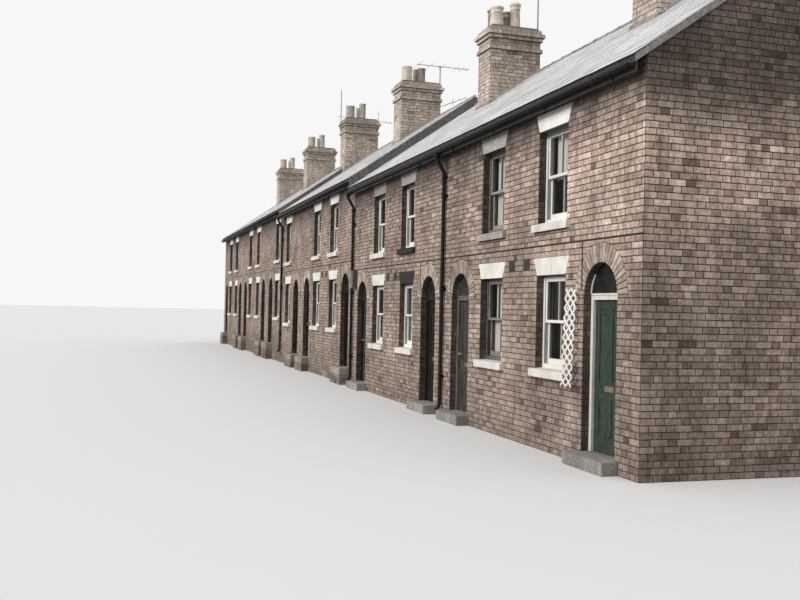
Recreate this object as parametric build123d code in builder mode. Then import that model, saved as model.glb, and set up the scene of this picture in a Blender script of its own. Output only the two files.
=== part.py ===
from build123d import *
import os
from math import cos, pi, radians, sin, tan

# A two-storey brick terrace of twelve small houses, in mirrored pairs, that climbs a gentle
# slope in three stepped sections: a (nearest, lowest), b and c.
# Millimetres. X runs along the row, nearest end at +X. -Y is the street front. +Z is up.
# The origin is at the middle of the footprint, at the lowest ground.

# Brickwork and the plan; each section has its name, its houses and the courses it rises
course = 82.5
brick_wall = 228
house_width = 3260
house_depth = 6320
sections = (("a", 4, 0), ("b", 3, 3), ("c", 5, 5))
reveal = 109

# Floors
threshold_courses = 2
ground_floor_thickness = 150
first_floor_top = 2800
first_floor_thickness = 190

# Windows: openings in whole courses above the ground of their section
window_width = 870
window_courses = 16
ground_head_course = 30
upper_head_course = 55
window_from_party = 1045
lintel_courses = 3
lintel_splay = 100
lintel_proud = 6
sill_height = 124
sill_length = 1070
sill_proud = 70
sill_fall = 14

# Box frames and sliding sashes
frame_depth = 112
frame_side = 50
frame_head = 45
frame_cill = 60
sash_thickness = 42
sash_set_back = 14
sash_gap = 4
sash_stile = 46
sash_rail = 42
sash_bottom_rail = 78
glass_thickness = 4

# Doorways: a ring of brick, flat on each brick's face, over a post and rail frame
door_from_party = 850
door_opening = 830
door_height = 1960
transom_height = 61
arch_ring = 240
arch_flats = 10
fanlight_thickness = 30
door_post = 45
door_stop = 14
door_stop_depth = 42
step_width = 1010
step_proud = 230

# Door leaves, their panels, knobs and lift-off hinges
door_thickness = 44
door_clearance = 5
opening_doors = 5
door_stile = 100
door_top_rail = 110
door_bottom_rail = 200
lock_rail_foot = 700
lock_rail = 200
panel_sink = 10
knob_foot = 16
knob_length = 45
knob_taper = -12
knob_sides = 6
knob_height = 1000
knob_from_edge = 62
hinge_radius = 7
hinge_gap = 1
hinge_plate = 2
hinge_flap = 30
hinge_half_height = 45
hinge_sides = 6
hinge_play = 0.3
hinge_heights = (200, 1660)
rear_door_set_in = 40

# Roof
roof_pitch = 35
roof_thickness = 74
eave_overhang = 180
eave_height = 4950
verge_overhang = 40
fascia_thickness = 24
fascia_height = 120
fascia_out = 126
ridge_leg = 170
ridge_thickness = 22

# Chimneys, on every party wall between two windows; cap layers run upwards from the shaft,
# each with its courses and how far it stands out
stack_width = 700
stack_depth = 1200
stack_front = 2060
stack_courses = 100
cap_layers = ((1, 40), (2, 0), (1, 40), (1, 80), (1, 20))
flaunching = 70
flaunching_slope = 35

# Pots: radius and height of each kind, then the places on a stack, measured across it from
# its middle and along it from its front
pot_kinds = {"wide": (160, 430), "tall": (122, 540), "plain": (105, 450)}
pot_places = (("wide", 140, 215), ("tall", 165, 650), ("plain", -165, 600), ("plain", -165, 230))
pots_on_stack = (3, 4, 3, 3, 3, 3)
pot_sides = 8
pot_taper = 1.5
pot_wall = 24

# Aerials: stack number, side of the stack, height of the mast over its top, and how far its
# boom reaches to the street and to the rear
aerials = ((2, 1, 1250, 450, 450), (3, 1, 650, 720, 900), (4, -1, 1080, 0, 0))
mast_half = 13
mast_lap = 450
boom_thickness = 18

# Rainwater goods
gutter_radius = 58
gutter_thickness = 6
gutter_flats = 4
gutter_drop = 10
pipe_radius = 38
pipe_sides = 6
pipe_off_wall = 60
pipe_from_party = 60
pipe_lines = (2, 4, 7)
swan_start = 110
swan_end = 330
shoe_top = 220
shoe_foot = 110
shoe_throw = 70
clip_width = 120
clip_height = 50
clip_heights = (700, 4000)

# Small things on the front wall
air_brick_width = 215
air_brick_courses = 2
air_brick_depth = 50
air_brick_foot_course = 31
air_brick_from_party = 260
cable_thickness = 14
cable_over_lintel = 170
cable_drop_past_arch = 55
cable_foot_over_spring = 60
box_line = 4
box_width = 220
box_depth = 120
box_height = 430
box_from_pipe = 40
box_under_cable = 20

# Worked out from the above
wall_y = house_depth / 2
house_count = sum(count for _, count, _ in sections)
half_row = house_count * house_width / 2
slope = tan(radians(roof_pitch))
roof_rise = roof_thickness / cos(radians(roof_pitch))
threshold = threshold_courses * course
window_height = window_courses * course
lintel_height = lintel_courses * course
frame_y = -wall_y + reveal
arch_radius = door_opening / 2
spring_height = threshold + door_height + transom_height
door_foot = -(door_height + transom_height)
leaf_half = arch_radius - door_post - door_clearance
door_frame_depth = door_stop_depth + door_clearance + door_thickness + hinge_gap
breast_front = -wall_y + stack_front
breast_back = breast_front + stack_depth
stack_lines = tuple(range(1, house_count, 2))
cable_height = (ground_head_course + lintel_courses) * course + cable_over_lintel


def line_x(k):
    """X of party line k: 0 is the nearest end, house_count the far end."""
    return half_row - k * house_width


def rise_at(house):
    """Height of a house's ground above the lowest ground."""
    first = 0
    for _, count, courses in sections:
        first += count
        if house <= first:
            return courses * course


def window_x(house):
    near = line_x(house) + window_from_party
    far = line_x(house - 1) - window_from_party
    return near if house % 2 else far


def door_x(house):
    near = line_x(house - 1) - door_from_party
    far = line_x(house) + door_from_party
    return near if house % 2 else far


def roof_top(y):
    """Height of the slate surface at a distance y from the middle of the house."""
    return eave_height + (wall_y + eave_overhang - abs(y)) * slope


def roof_under(y):
    return roof_top(y) - roof_rise


def section_lines():
    """Name, first line, last line and rise of each section."""
    rows = []
    first = 0
    for name, count, courses in sections:
        rows.append((name, first, first + count, courses * course))
        first += count
    return rows


def run_ends(first, last):
    """Far and near X of a section's walls."""
    near = line_x(first) + (brick_wall / 2 if first == 0 else 0)
    far = line_x(last) - (brick_wall / 2 if last == house_count else 0)
    return far, near


def polygon(plane, points):
    with BuildSketch(plane) as sketch:
        with BuildLine():
            Polyline(*points, close=True)
        make_face()
    return sketch.sketch


def arch_points(radius, x, z):
    """The flats of a half circle over its springing line, from its near end to its far end."""
    turns = [pi * step / arch_flats for step in range(arch_flats + 1)]
    return [(x + radius * cos(turn), z + radius * sin(turn)) for turn in turns]


def block(x0, x1, y0, y1, z0, z1, mode=Mode.ADD):
    """A square block between two corners, in the current part."""
    with Locations(((x0 + x1) / 2, (y0 + y1) / 2, (z0 + z1) / 2)):
        Box(abs(x1 - x0), abs(y1 - y0), z1 - z0, mode=mode)


def save(part, name):
    part.label = name
    export_step(part, "parts/" + name + ".step")


# Outer walls
def wall_prism(x0, x1, rise, side):
    """A run of outer wall, its top cut to the slope of the roof."""
    outer = side * wall_y
    inner = side * (wall_y - brick_wall)
    profile = [
        (outer, 0),
        (inner, 0),
        (inner, rise + roof_under(inner)),
        (outer, rise + roof_under(outer)),
    ]
    extrude(polygon(Plane.YZ.offset(x0), profile), amount=x1 - x0)


def lintel_face(x, head, y):
    """The splayed outline of a lintel over a window."""
    half = window_width / 2
    points = [
        (x - half, head),
        (x + half, head),
        (x + half + lintel_splay, head + lintel_height),
        (x - half - lintel_splay, head + lintel_height),
    ]
    return polygon(Plane.XZ.offset(-y), points)


def window_cut(x, head, side):
    """The hole for one window; a front window has seats for its lintel and sill too."""
    outer = side * wall_y
    inner = side * (wall_y - brick_wall)
    half = window_width / 2
    sill_top = head - window_height
    block(x - half, x + half, outer, inner, sill_top, head, Mode.SUBTRACT)
    if side < 0:
        seat, back = sill_length / 2, outer + reveal
        block(x - seat, x + seat, outer, back, sill_top - sill_height, sill_top, Mode.SUBTRACT)
        extrude(lintel_face(x, head, back), amount=reveal, mode=Mode.SUBTRACT)


def gaps_between(ends, centres):
    """The stretches of wall that are left between doorways."""
    low, high = ends
    edges = [low]
    for x in sorted(centres):
        edges += [x - arch_radius, x + arch_radius]
    edges.append(high)
    return list(zip(edges[0::2], edges[1::2]))


def air_brick_places():
    """X and foot of each air brick, one to each side of the party lines between windows."""
    rows = []
    for k in stack_lines:
        for house, hand in ((k, 1), (k + 1, -1)):
            foot = rise_at(house) + air_brick_foot_course * course
            rows.append((line_x(k) + hand * air_brick_from_party, foot))
    return rows


def arch_cut(house):
    """Cuts a doorway's whole arch, ring and opening, out of the front wall."""
    outline = arch_points(arch_radius + arch_ring, door_x(house), rise_at(house) + spring_height)
    extrude(polygon(Plane.XZ.offset(wall_y), outline), amount=-brick_wall, mode=Mode.SUBTRACT)


def front_wall(first, last, rise):
    houses = range(first + 1, last + 1)
    far, near = run_ends(first, last)
    with BuildPart() as wall:
        for x0, x1 in gaps_between((far, near), [door_x(house) for house in houses]):
            wall_prism(x0, x1, rise, -1)
        for house in houses:
            window_cut(window_x(house), rise + ground_head_course * course, -1)
            window_cut(window_x(house), rise + upper_head_course * course, -1)
            arch_cut(house)
        half = air_brick_width / 2
        height = air_brick_courses * course
        for x, foot in air_brick_places():
            if far < x < near:
                front, back = -wall_y, -wall_y + air_brick_depth
                block(x - half, x + half, front, back, foot, foot + height, Mode.SUBTRACT)
    return wall.part


def over_doors():
    """The walling above each doorway's arch."""
    with BuildPart() as walling:
        for house in range(1, house_count + 1):
            x, rise = door_x(house), rise_at(house)
            wall_prism(x - arch_radius, x + arch_radius, rise, -1)
        for house in range(1, house_count + 1):
            x, spring = door_x(house), rise_at(house) + spring_height
            inner = -wall_y + brick_wall
            block(x - arch_radius, x + arch_radius, -wall_y, inner, 0, spring, Mode.SUBTRACT)
            arch_cut(house)
    return walling.part


def rear_wall(first, last, rise):
    houses = range(first + 1, last + 1)
    with BuildPart() as wall:
        far, near = run_ends(first, last)
        wall_prism(far, near, rise, 1)
        head = rise + ground_head_course * course
        for house in houses:
            window_cut(window_x(house), head, 1)
            window_cut(window_x(house), rise + upper_head_course * course, 1)
            x = door_x(house)
            block(x - arch_radius, x + arch_radius, wall_y - brick_wall, wall_y, 0, head, Mode.SUBTRACT)
    return wall.part


# Cross walls
def gable(rise, x0, x1, y0, y1):
    """Part of a cross wall between y0 and y1, up to the roof above it."""
    points = [(y0, 0), (y1, 0), (y1, rise + roof_under(y1))]
    if y0 < 0 < y1:
        points.append((0, rise + roof_under(0)))
    points.append((y0, rise + roof_under(y0)))
    extrude(polygon(Plane.YZ.offset(x0), points), amount=x1 - x0)


def line_rises(k):
    """The rise of the roofs on the far and on the near side of a party line."""
    far = rise_at(min(k + 1, house_count))
    near = rise_at(max(k, 1))
    return far, near


def cross_wall(k):
    """A party wall or an end wall, in two parts where a chimney breast stands in it."""
    far, near = line_rises(k)
    x = line_x(k)
    inner = wall_y - brick_wall
    spans = [(-inner, inner)]
    if k in stack_lines:
        spans = [(-inner, breast_front), (breast_back, inner)]
    with BuildPart() as wall:
        for y0, y1 in spans:
            gable(far, x - brick_wall / 2, x, y0, y1)
            gable(near, x, x + brick_wall / 2, y0, y1)
    return wall.part


def cut_breasts(top):
    """Cuts the chimney breasts out of the current part, up to a height."""
    half = stack_width / 2
    for k in stack_lines:
        block(line_x(k) - half, line_x(k) + half, breast_front, breast_back, 0, top, Mode.SUBTRACT)


def floors(top, thickness):
    """A floor in every house, cut round the chimney breasts."""
    inner = wall_y - brick_wall
    with BuildPart() as floor:
        for house in range(1, house_count + 1):
            rise = rise_at(house)
            x0 = line_x(house) + brick_wall / 2
            x1 = line_x(house - 1) - brick_wall / 2
            block(x0, x1, -inner, inner, rise + top - thickness, rise + top)
        cut_breasts(top + rise_at(house_count))
    return floor.part


# Roof
def roof_slope(first, last, rise, side):
    """One slope of a section's roof, with its chimney holes."""
    far, near = run_ends(first, last)
    far -= verge_overhang if last == house_count else 0
    near += verge_overhang
    eave = side * (wall_y + eave_overhang)
    points = [
        (eave, rise + roof_top(eave)),
        (0, rise + roof_top(0)),
        (0, rise + roof_under(0)),
        (eave, rise + roof_under(eave)),
    ]
    with BuildPart() as roof:
        extrude(polygon(Plane.YZ.offset(far), points), amount=near - far)
        cut_breasts(stack_courses * course)
    return roof.part


def ridge_run(far, near, rise):
    """Angled ridge tiles, broken by the stacks."""
    z = rise + roof_top(0)
    leg = ridge_leg * cos(radians(roof_pitch))
    skin = ridge_thickness / cos(radians(roof_pitch))
    points = [
        (-leg, z - leg * slope),
        (0, z),
        (leg, z - leg * slope),
        (leg, z - leg * slope + skin),
        (0, z + skin),
        (-leg, z - leg * slope + skin),
    ]
    with BuildPart() as ridge:
        extrude(polygon(Plane.YZ.offset(far), points), amount=near - far)
        half = stack_width / 2
        for k in stack_lines:
            block(line_x(k) - half, line_x(k) + half, -leg, leg, 0, 2 * z, Mode.SUBTRACT)
    return ridge.part


os.makedirs("parts", exist_ok=True)
for name, first, last, rise in section_lines():
    save(front_wall(first, last, rise), "front_wall_" + name)
    save(rear_wall(first, last, rise), "rear_wall_" + name)
    save(roof_slope(first, last, rise, -1), "roof_front_" + name)
    save(roof_slope(first, last, rise, 1), "roof_rear_" + name)
save(over_doors(), "front_wall_over_doors")
save(cross_wall(0), "end_wall_near")
save(cross_wall(house_count), "end_wall_far")
save(floors(threshold, ground_floor_thickness), "ground_floors")
save(floors(first_floor_top, first_floor_thickness), "first_floors")

with BuildPart() as party_walls:
    for k in range(1, house_count):
        add(cross_wall(k))
save(party_walls.part, "party_walls")

with BuildPart() as ridge_tiles:
    for name, first, last, rise in section_lines():
        far, near = run_ends(first, last)
        add(ridge_run(far, near, rise))
save(ridge_tiles.part, "ridge_tiles")

with BuildPart() as fascias:
    for name, first, last, rise in section_lines():
        far, near = run_ends(first, last)
        for side in (-1, 1):
            back, front = side * (wall_y + fascia_out), side * (wall_y + fascia_out + fascia_thickness)
            points = [
                (back, rise + roof_under(front) - fascia_height),
                (front, rise + roof_under(front) - fascia_height),
                (front, rise + roof_under(front)),
                (back, rise + roof_under(back)),
            ]
            extrude(polygon(Plane.YZ.offset(far), points), amount=near - far)
save(fascias.part, "fascias")


# Chimneys: each stack rises from the ground as a breast, astride its party wall
def stack_top(k):
    return max(line_rises(k)) + stack_courses * course


def stack_layer(k, foot, height, out):
    """One square stage of a stack, standing out from the shaft on every side."""
    with BuildSketch(Plane.XY.offset(foot)) as outline:
        with Locations((line_x(k), (breast_front + breast_back) / 2)):
            Rectangle(stack_width + 2 * out, stack_depth + 2 * out)
    extrude(outline.sketch, amount=height)


def chimney_stack(k):
    cap_height = sum(count for count, _ in cap_layers) * course
    z = stack_top(k) - cap_height
    with BuildPart() as stack:
        stack_layer(k, 0, z, 0)
        for count, out in cap_layers:
            stack_layer(k, z, count * course, out)
            z += count * course
        with BuildSketch(Plane.XY.offset(z)) as bed:
            with Locations((line_x(k), (breast_front + breast_back) / 2)):
                Rectangle(stack_width, stack_depth)
        extrude(bed.sketch, amount=flaunching, taper=flaunching_slope)
    return stack.part


def chimney_pot(radius, height):
    """A tapered pot, open right through."""
    neck = radius - height * tan(radians(pot_taper))
    with BuildPart() as pot:
        with BuildSketch():
            RegularPolygon(radius, pot_sides)
        extrude(amount=height, taper=pot_taper)
        with BuildSketch() as bore:
            RegularPolygon(neck - pot_wall, pot_sides)
        extrude(bore.sketch, amount=height, mode=Mode.SUBTRACT)
    return pot.part


for number, k in enumerate(stack_lines, 1):
    save(chimney_stack(k), f"chimney_stack_{number}")

pots = {kind: chimney_pot(*size) for kind, size in pot_kinds.items()}
with BuildPart() as chimney_pots:
    for k, count in zip(stack_lines, pots_on_stack):
        for kind, across, along in pot_places[:count]:
            with Locations((line_x(k) + across, breast_front + along, stack_top(k) + flaunching)):
                add(pots[kind])
save(chimney_pots.part, "chimney_pots")

with BuildPart() as tv_aerials:
    cap_out = max(out for _, out in cap_layers)
    for number, side, height, to_street, to_rear in aerials:
        k = stack_lines[number - 1]
        face = breast_back if side > 0 else breast_front
        x, y = line_x(k), face + side * (cap_out + mast_half)
        foot, top = stack_top(k) - mast_lap, stack_top(k) + height
        block(x - mast_half, x + mast_half, y - mast_half, y + mast_half, foot, top)
        if to_rear:
            half = boom_thickness / 2
            block(x - half, x + half, y - to_street, y + to_rear, top - boom_thickness, top)
save(tv_aerials.part, "tv_aerials")


# Heads and sills of the front windows
window_heads = [
    (window_x(house), rise_at(house) + head * course)
    for house in range(1, house_count + 1)
    for head in (ground_head_course, upper_head_course)
]
with BuildPart() as lintels:
    for x, head in window_heads:
        extrude(lintel_face(x, head, -wall_y - lintel_proud), amount=-(reveal + lintel_proud))
save(lintels.part, "lintels")

with BuildPart() as sills:
    for x, head in window_heads:
        top = head - window_height
        outer, back = -wall_y - sill_proud, frame_y
        points = [
            (back, top),
            (back, top - sill_height),
            (outer, top - sill_height),
            (outer, top - sill_fall),
        ]
        extrude(polygon(Plane.YZ.offset(x - sill_length / 2), points), amount=sill_length)
save(sills.part, "sills")


# Box frames with their sashes and panes; z runs from the bottom of the opening
def frame_at(side, offset):
    """Y of a plane set back from the face of the box frame."""
    return side * (wall_y - reveal - offset)


def ring(z0, z1, width, sides, bottom, top, y0, y1):
    """A four-sided frame standing in the plane of the wall, centred on X 0."""
    inside = width / 2 - sides
    with BuildPart() as frame:
        block(-width / 2, width / 2, y0, y1, z0, z1)
        block(-inside, inside, y0, y1, z0 + bottom, z1 - top, Mode.SUBTRACT)
    return frame.part


def window_parts():
    """One front window: its box frame, two sashes and two panes."""
    inner_width = window_width - 2 * frame_side
    z_foot, z_head = frame_cill, window_height - frame_head
    middle = (z_foot + z_head) / 2
    upper_face = frame_at(-1, sash_set_back)
    upper_back = frame_at(-1, sash_set_back + sash_thickness)
    lower_face = frame_at(-1, sash_set_back + sash_thickness + sash_gap)
    lower_back = frame_at(-1, sash_set_back + 2 * sash_thickness + sash_gap)
    faces = frame_at(-1, 0), frame_at(-1, frame_depth)
    frame = ring(0, window_height, window_width, frame_side, frame_cill, frame_head, *faces)
    upper = ring(middle - sash_rail / 2, z_head, inner_width, sash_stile, sash_rail, sash_rail,
                 upper_face, upper_back)
    lower = ring(z_foot, middle + sash_rail / 2, inner_width, sash_stile, sash_bottom_rail, sash_rail,
                 lower_face, lower_back)
    half = inner_width / 2 - sash_stile
    panes = []
    for face, back, z0, z1 in (
        (upper_face, upper_back, middle + sash_rail / 2, z_head - sash_rail),
        (lower_face, lower_back, z_foot + sash_bottom_rail, middle - sash_rail / 2),
    ):
        front = (face + back - glass_thickness) / 2
        with BuildPart() as pane:
            block(-half, half, front, front + glass_thickness, z0, z1)
        panes.append(pane.part)
    return frame, (upper, lower), panes


def rear_window():
    """A plain window: one frame and its pane."""
    sides = frame_side + sash_stile
    y0, y1 = frame_at(1, frame_depth), frame_at(1, 0)
    foot, head = frame_cill + sash_bottom_rail, frame_head + sash_rail
    half = window_width / 2 - sides
    front = (y0 + y1 - glass_thickness) / 2
    window = ring(0, window_height, window_width, sides, foot, head, y0, y1)
    with BuildPart() as light:
        block(-half, half, front, front + glass_thickness, foot, window_height - head)
    return window, light.part


frame, sashes, panes = window_parts()
rear_frame, rear_pane = rear_window()
window_feet = [(x, 0, head - window_height) for x, head in window_heads]
with BuildPart() as window_frames:
    with Locations(*window_feet):
        add(frame)
save(window_frames.part, "window_frames")
with BuildPart() as window_sashes:
    with Locations(*window_feet):
        for sash in sashes:
            add(sash)
save(window_sashes.part, "window_sashes")
with BuildPart() as window_glass:
    with Locations(*window_feet):
        for pane in panes:
            add(pane)
save(window_glass.part, "window_glass")
with BuildPart() as rear_windows:
    with Locations(*window_feet):
        add(rear_frame)
save(rear_windows.part, "rear_windows")
with BuildPart() as rear_window_glass:
    with Locations(*window_feet):
        add(rear_pane)
save(rear_window_glass.part, "rear_window_glass")


# Doorways: pieces are drawn about X 0 and the springing line, then placed in each house
def door_place(house):
    return (door_x(house), 0, rise_at(house) + spring_height)


def hand_of(house):
    """The side of the hinges: away from the party line beside the door."""
    return -1 if house % 2 else 1


def arch():
    outline = arch_points(arch_radius + arch_ring, 0, 0) + arch_points(arch_radius, 0, 0)[::-1]
    with BuildPart() as band:
        extrude(polygon(Plane.XZ.offset(wall_y), outline), amount=-brick_wall)
    return band.part


def transom():
    with BuildPart() as bar:
        block(-arch_radius, arch_radius, frame_y, frame_y + door_frame_depth, -transom_height, 0)
    return bar.part


def fanlight():
    """The panel that fills the arch over the transom."""
    with BuildPart() as panel:
        face = polygon(Plane.XZ.offset(-frame_y), arch_points(arch_radius, 0, 0))
        extrude(face, amount=-fanlight_thickness)
    return panel.part


def hinge_half(hand, inner, outer, height, pinned):
    """Half of each lift-off hinge: its knuckle on the door's axis, and its plate in the gap."""
    pivot_x = hand * (leaf_half + door_clearance / 2)
    leaf_back = frame_y + door_stop_depth + door_clearance + door_thickness
    pivot_y = leaf_back + hinge_gap + hinge_radius
    for place in hinge_heights:
        z = door_foot + place + height
        with BuildSketch(Plane.XY.offset(z)) as knuckle:
            with Locations((pivot_x, pivot_y)):
                if pinned and place == hinge_heights[0]:
                    Circle(hinge_radius)
                else:
                    RegularPolygon(hinge_radius, hinge_sides)
        extrude(knuckle.sketch, amount=hinge_half_height)
        top = z + hinge_half_height
        block(hand * inner, hand * outer, leaf_back - hinge_flap, pivot_y, z, top)


def door_posts_pair(hand, hinged):
    """The two rebated posts of a door frame, one with the fixed halves of the hinges."""
    stop = arch_radius - door_post - door_stop
    post = arch_radius - door_post
    back, rebate = frame_y + door_frame_depth, frame_y + door_stop_depth
    with BuildPart() as posts:
        for side in (-1, 1):
            section = [
                (side * arch_radius, frame_y),
                (side * stop, frame_y),
                (side * stop, rebate),
                (side * post, rebate),
                (side * post, back),
                (side * arch_radius, back),
            ]
            extrude(polygon(Plane.XY.offset(door_foot), section), amount=door_height)
        if hinged:
            hinge_half(hand, post - hinge_plate, post, 0, False)
    return posts.part


def door_leaf(hand, hinged):
    """A four-panel door with its knob; a leaf that opens has hinges too."""
    z0, z1 = door_foot + door_clearance, -transom_height - door_clearance
    y0 = frame_y + door_stop_depth + (door_clearance if hinged else 0)
    y1 = y0 + door_thickness
    lock_foot = z0 + lock_rail_foot
    with BuildPart() as leaf:
        block(-leaf_half, leaf_half, y0, y1, z0, z1)
        for side in (-1, 1):
            near, far = side * door_stile / 2, side * (leaf_half - door_stile)
            for low, high in ((z0 + door_bottom_rail, lock_foot), (lock_foot + lock_rail, z1 - door_top_rail)):
                block(near, far, y0, y0 + panel_sink, low, high, Mode.SUBTRACT)
        knob = (-hand * (leaf_half - knob_from_edge), z0 + knob_height)
        with BuildSketch(Plane.XZ.offset(-y0)) as grip:
            with Locations(knob):
                RegularPolygon(knob_foot, knob_sides)
        extrude(grip.sketch, amount=knob_length, taper=knob_taper)
        if hinged:
            foot = hinge_half_height + hinge_play
            hinge_half(hand, leaf_half, leaf_half + hinge_plate, foot, True)
    return leaf.part


door_places = [door_place(house) for house in range(1, house_count + 1)]
with BuildPart() as door_arches:
    with Locations(*door_places):
        add(arch())
save(door_arches.part, "door_arches")
with BuildPart() as door_heads:
    with Locations(*door_places):
        add(transom())
save(door_heads.part, "door_heads")
with BuildPart() as fanlights:
    with Locations(*door_places):
        add(fanlight())
save(fanlights.part, "fanlights")

with BuildPart() as door_posts:
    for house in range(1, house_count + 1):
        posts = door_posts_pair(hand_of(house), house <= opening_doors)
        with Locations(door_place(house)):
            add(posts)
save(door_posts.part, "door_posts")

for house in range(1, opening_doors + 1):
    leaf = door_leaf(hand_of(house), True)
    with BuildPart() as door:
        with Locations(door_place(house)):
            add(leaf)
    save(door.part, f"door_{house}")

with BuildPart() as front_doors_fixed:
    for house in range(opening_doors + 1, house_count + 1):
        leaf = door_leaf(hand_of(house), False)
        with Locations(door_place(house)):
            add(leaf)
save(front_doors_fixed.part, "front_doors_fixed")

with BuildPart() as doorsteps:
    for house in range(1, house_count + 1):
        x, top = door_x(house), rise_at(house) + threshold
        block(x - arch_radius, x + arch_radius, -wall_y, -wall_y + brick_wall, 0, top)
        block(x - step_width / 2, x + step_width / 2, -wall_y - step_proud, -wall_y, 0, top)
save(doorsteps.part, "doorsteps")

# Back doors, shut, each over its threshold
with BuildPart() as rear_doors:
    inner = wall_y - brick_wall
    face = inner + rear_door_set_in
    for house in range(1, house_count + 1):
        x, rise = door_x(house), rise_at(house)
        head = rise + ground_head_course * course
        block(x - arch_radius, x + arch_radius, inner, wall_y, 0, rise + threshold)
        block(x - arch_radius, x + arch_radius, face, face + door_thickness, rise + threshold, head)
save(rear_doors.part, "rear_doors")


# Rainwater goods
def gutter_middle(side):
    """Y of the gutter's middle, and its height above the rise of its section."""
    y = side * (wall_y + fascia_out + fascia_thickness + gutter_radius)
    return y, roof_under(wall_y + eave_overhang) - gutter_drop


def trough_points(radius, y, z):
    turns = [pi * step / gutter_flats for step in range(gutter_flats + 1)]
    return [(y + radius * cos(turn), z - radius * sin(turn)) for turn in turns]


def gutter(far, near, rise, side):
    y, z = gutter_middle(side)
    outside = trough_points(gutter_radius, y, rise + z)
    inside = trough_points(gutter_radius - gutter_thickness, y, rise + z)
    with BuildPart() as trough:
        extrude(polygon(Plane.YZ.offset(far), outside + inside[::-1]), amount=near - far)
    return trough.part


def downpipe(k, side):
    """A pipe with a swan neck under the eaves, a shoe at its foot and clips to the wall."""
    rise = rise_at(k)
    y_gutter, z = gutter_middle(side)
    z += rise - gutter_radius
    y_pipe = side * (wall_y + pipe_off_wall)
    x = line_x(k) + pipe_from_party
    route = [
        (x, y_gutter, z),
        (x, y_gutter, z - swan_start),
        (x, y_pipe, z - swan_end),
        (x, y_pipe, rise + shoe_top),
        (x, y_pipe + side * shoe_throw, rise + shoe_foot),
    ]
    with BuildPart() as pipe:
        with BuildLine():
            Polyline(*route)
        with BuildSketch(Plane(origin=route[0], z_dir=(0, 0, -1))):
            RegularPolygon(pipe_radius, pipe_sides)
        sweep(transition=Transition.RIGHT)
        half = clip_width / 2
        for height in clip_heights:
            foot = rise + height
            block(x - half, x + half, side * wall_y, y_pipe, foot, foot + clip_height)
    return pipe.part


with BuildPart() as gutters:
    for name, first, last, rise in section_lines():
        far, near = run_ends(first, last)
        for side in (-1, 1):
            add(gutter(far, near, rise, side))
save(gutters.part, "gutters")

with BuildPart() as downpipes:
    for k in pipe_lines:
        for side in (-1, 1):
            add(downpipe(k, side))
save(downpipes.part, "downpipes")

# Air bricks, flush with the front wall
with BuildPart() as air_bricks:
    half = air_brick_width / 2
    for x, foot in air_brick_places():
        top = foot + air_brick_courses * course
        block(x - half, x + half, -wall_y, -wall_y + air_brick_depth, foot, top)
save(air_bricks.part, "air_bricks")

# A cable along the front wall, stepping up with the sections and dropping beside each arch
with BuildPart() as wall_cables:
    front = -wall_y - cable_thickness
    previous = 0
    for name, first, last, rise in section_lines():
        far, near = run_ends(first, last)
        z = rise + cable_height
        block(far, near, front, -wall_y, z, z + cable_thickness)
        if rise > previous:
            block(near - cable_thickness, near, front, -wall_y, previous + cable_height, z)
        for house in range(first + 1, last + 1):
            x = door_x(house) - arch_radius - cable_drop_past_arch
            foot = rise + spring_height + cable_foot_over_spring
            block(x, x + cable_thickness, front, -wall_y, foot, z)
        previous = rise
save(wall_cables.part, "wall_cables")

# A small cupboard on the wall beside a downpipe, under the cable
with BuildPart() as wall_box:
    x = line_x(box_line) + pipe_from_party + pipe_radius + box_from_pipe
    top = rise_at(box_line) + cable_height - box_under_cable
    block(x, x + box_width, -wall_y - box_depth, -wall_y, top - box_height, top)
save(wall_box.part, "wall_box")
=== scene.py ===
import math
import random
import bmesh
import bpy
from mathutils import Matrix, Vector


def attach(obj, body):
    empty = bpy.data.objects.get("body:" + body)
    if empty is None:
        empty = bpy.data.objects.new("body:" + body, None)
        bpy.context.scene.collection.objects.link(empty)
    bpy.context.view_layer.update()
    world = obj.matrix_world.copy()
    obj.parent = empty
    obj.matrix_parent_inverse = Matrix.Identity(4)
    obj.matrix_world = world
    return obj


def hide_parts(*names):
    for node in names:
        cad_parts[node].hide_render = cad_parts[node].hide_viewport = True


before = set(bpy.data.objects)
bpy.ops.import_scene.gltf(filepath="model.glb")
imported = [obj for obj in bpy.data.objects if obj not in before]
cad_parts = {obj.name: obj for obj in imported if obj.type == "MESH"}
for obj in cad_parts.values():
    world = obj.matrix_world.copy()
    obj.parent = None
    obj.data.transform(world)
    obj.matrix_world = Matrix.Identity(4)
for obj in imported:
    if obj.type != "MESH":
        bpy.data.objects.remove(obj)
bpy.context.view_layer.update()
rng = random.Random(12)

# Metres, in the frame of the part: X along the row, the nearest end at +X, the street at -Y.
# The heads of the windows are counted in courses from the foot of their section's walls.
COURSE = 0.0825
HOUSE = 3.26
HALF_ROW = 6 * HOUSE
WALL_Y = 3.16
BRICK_WALL = 0.228
HOUSES = range(1, 13)
SECTIONS = (("a", 0, 4, 0.0), ("b", 4, 7, 3 * COURSE), ("c", 7, 12, 5 * COURSE))
GROUND, UPPER = HEADS = (30, 55)
WINDOW_HIGH, WINDOW_WIDE, DOOR_WIDE = 1.32, 0.87, 0.83
SILL_HALF, SILL_FOOT, STEP_HALF, STEP_FRONT = 0.535, 1.444, 0.505, -3.39
SLOPE = math.tan(math.radians(35))
COS, SIN = math.cos(math.radians(35)), math.sin(math.radians(35))
EAVE_Y, EAVE_Z, SLAB = 3.34, 4.95, 0.0903
SPRING, ARCH_R, RING = 2.186, 0.415, 0.24
FRAME_Y = -3.051
STACK_HALF, STACK_FRONT, STACK_BACK, STACK_HIGH = 0.35, -1.1, 0.1, 100 * COURSE
STACK_LINES = (1, 3, 5, 7, 9, 11)


def line_x(k):
    return HALF_ROW - k * HOUSE


def rise_at(house):
    return next(rise for _, first, last, rise in SECTIONS if first < house <= last)


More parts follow.
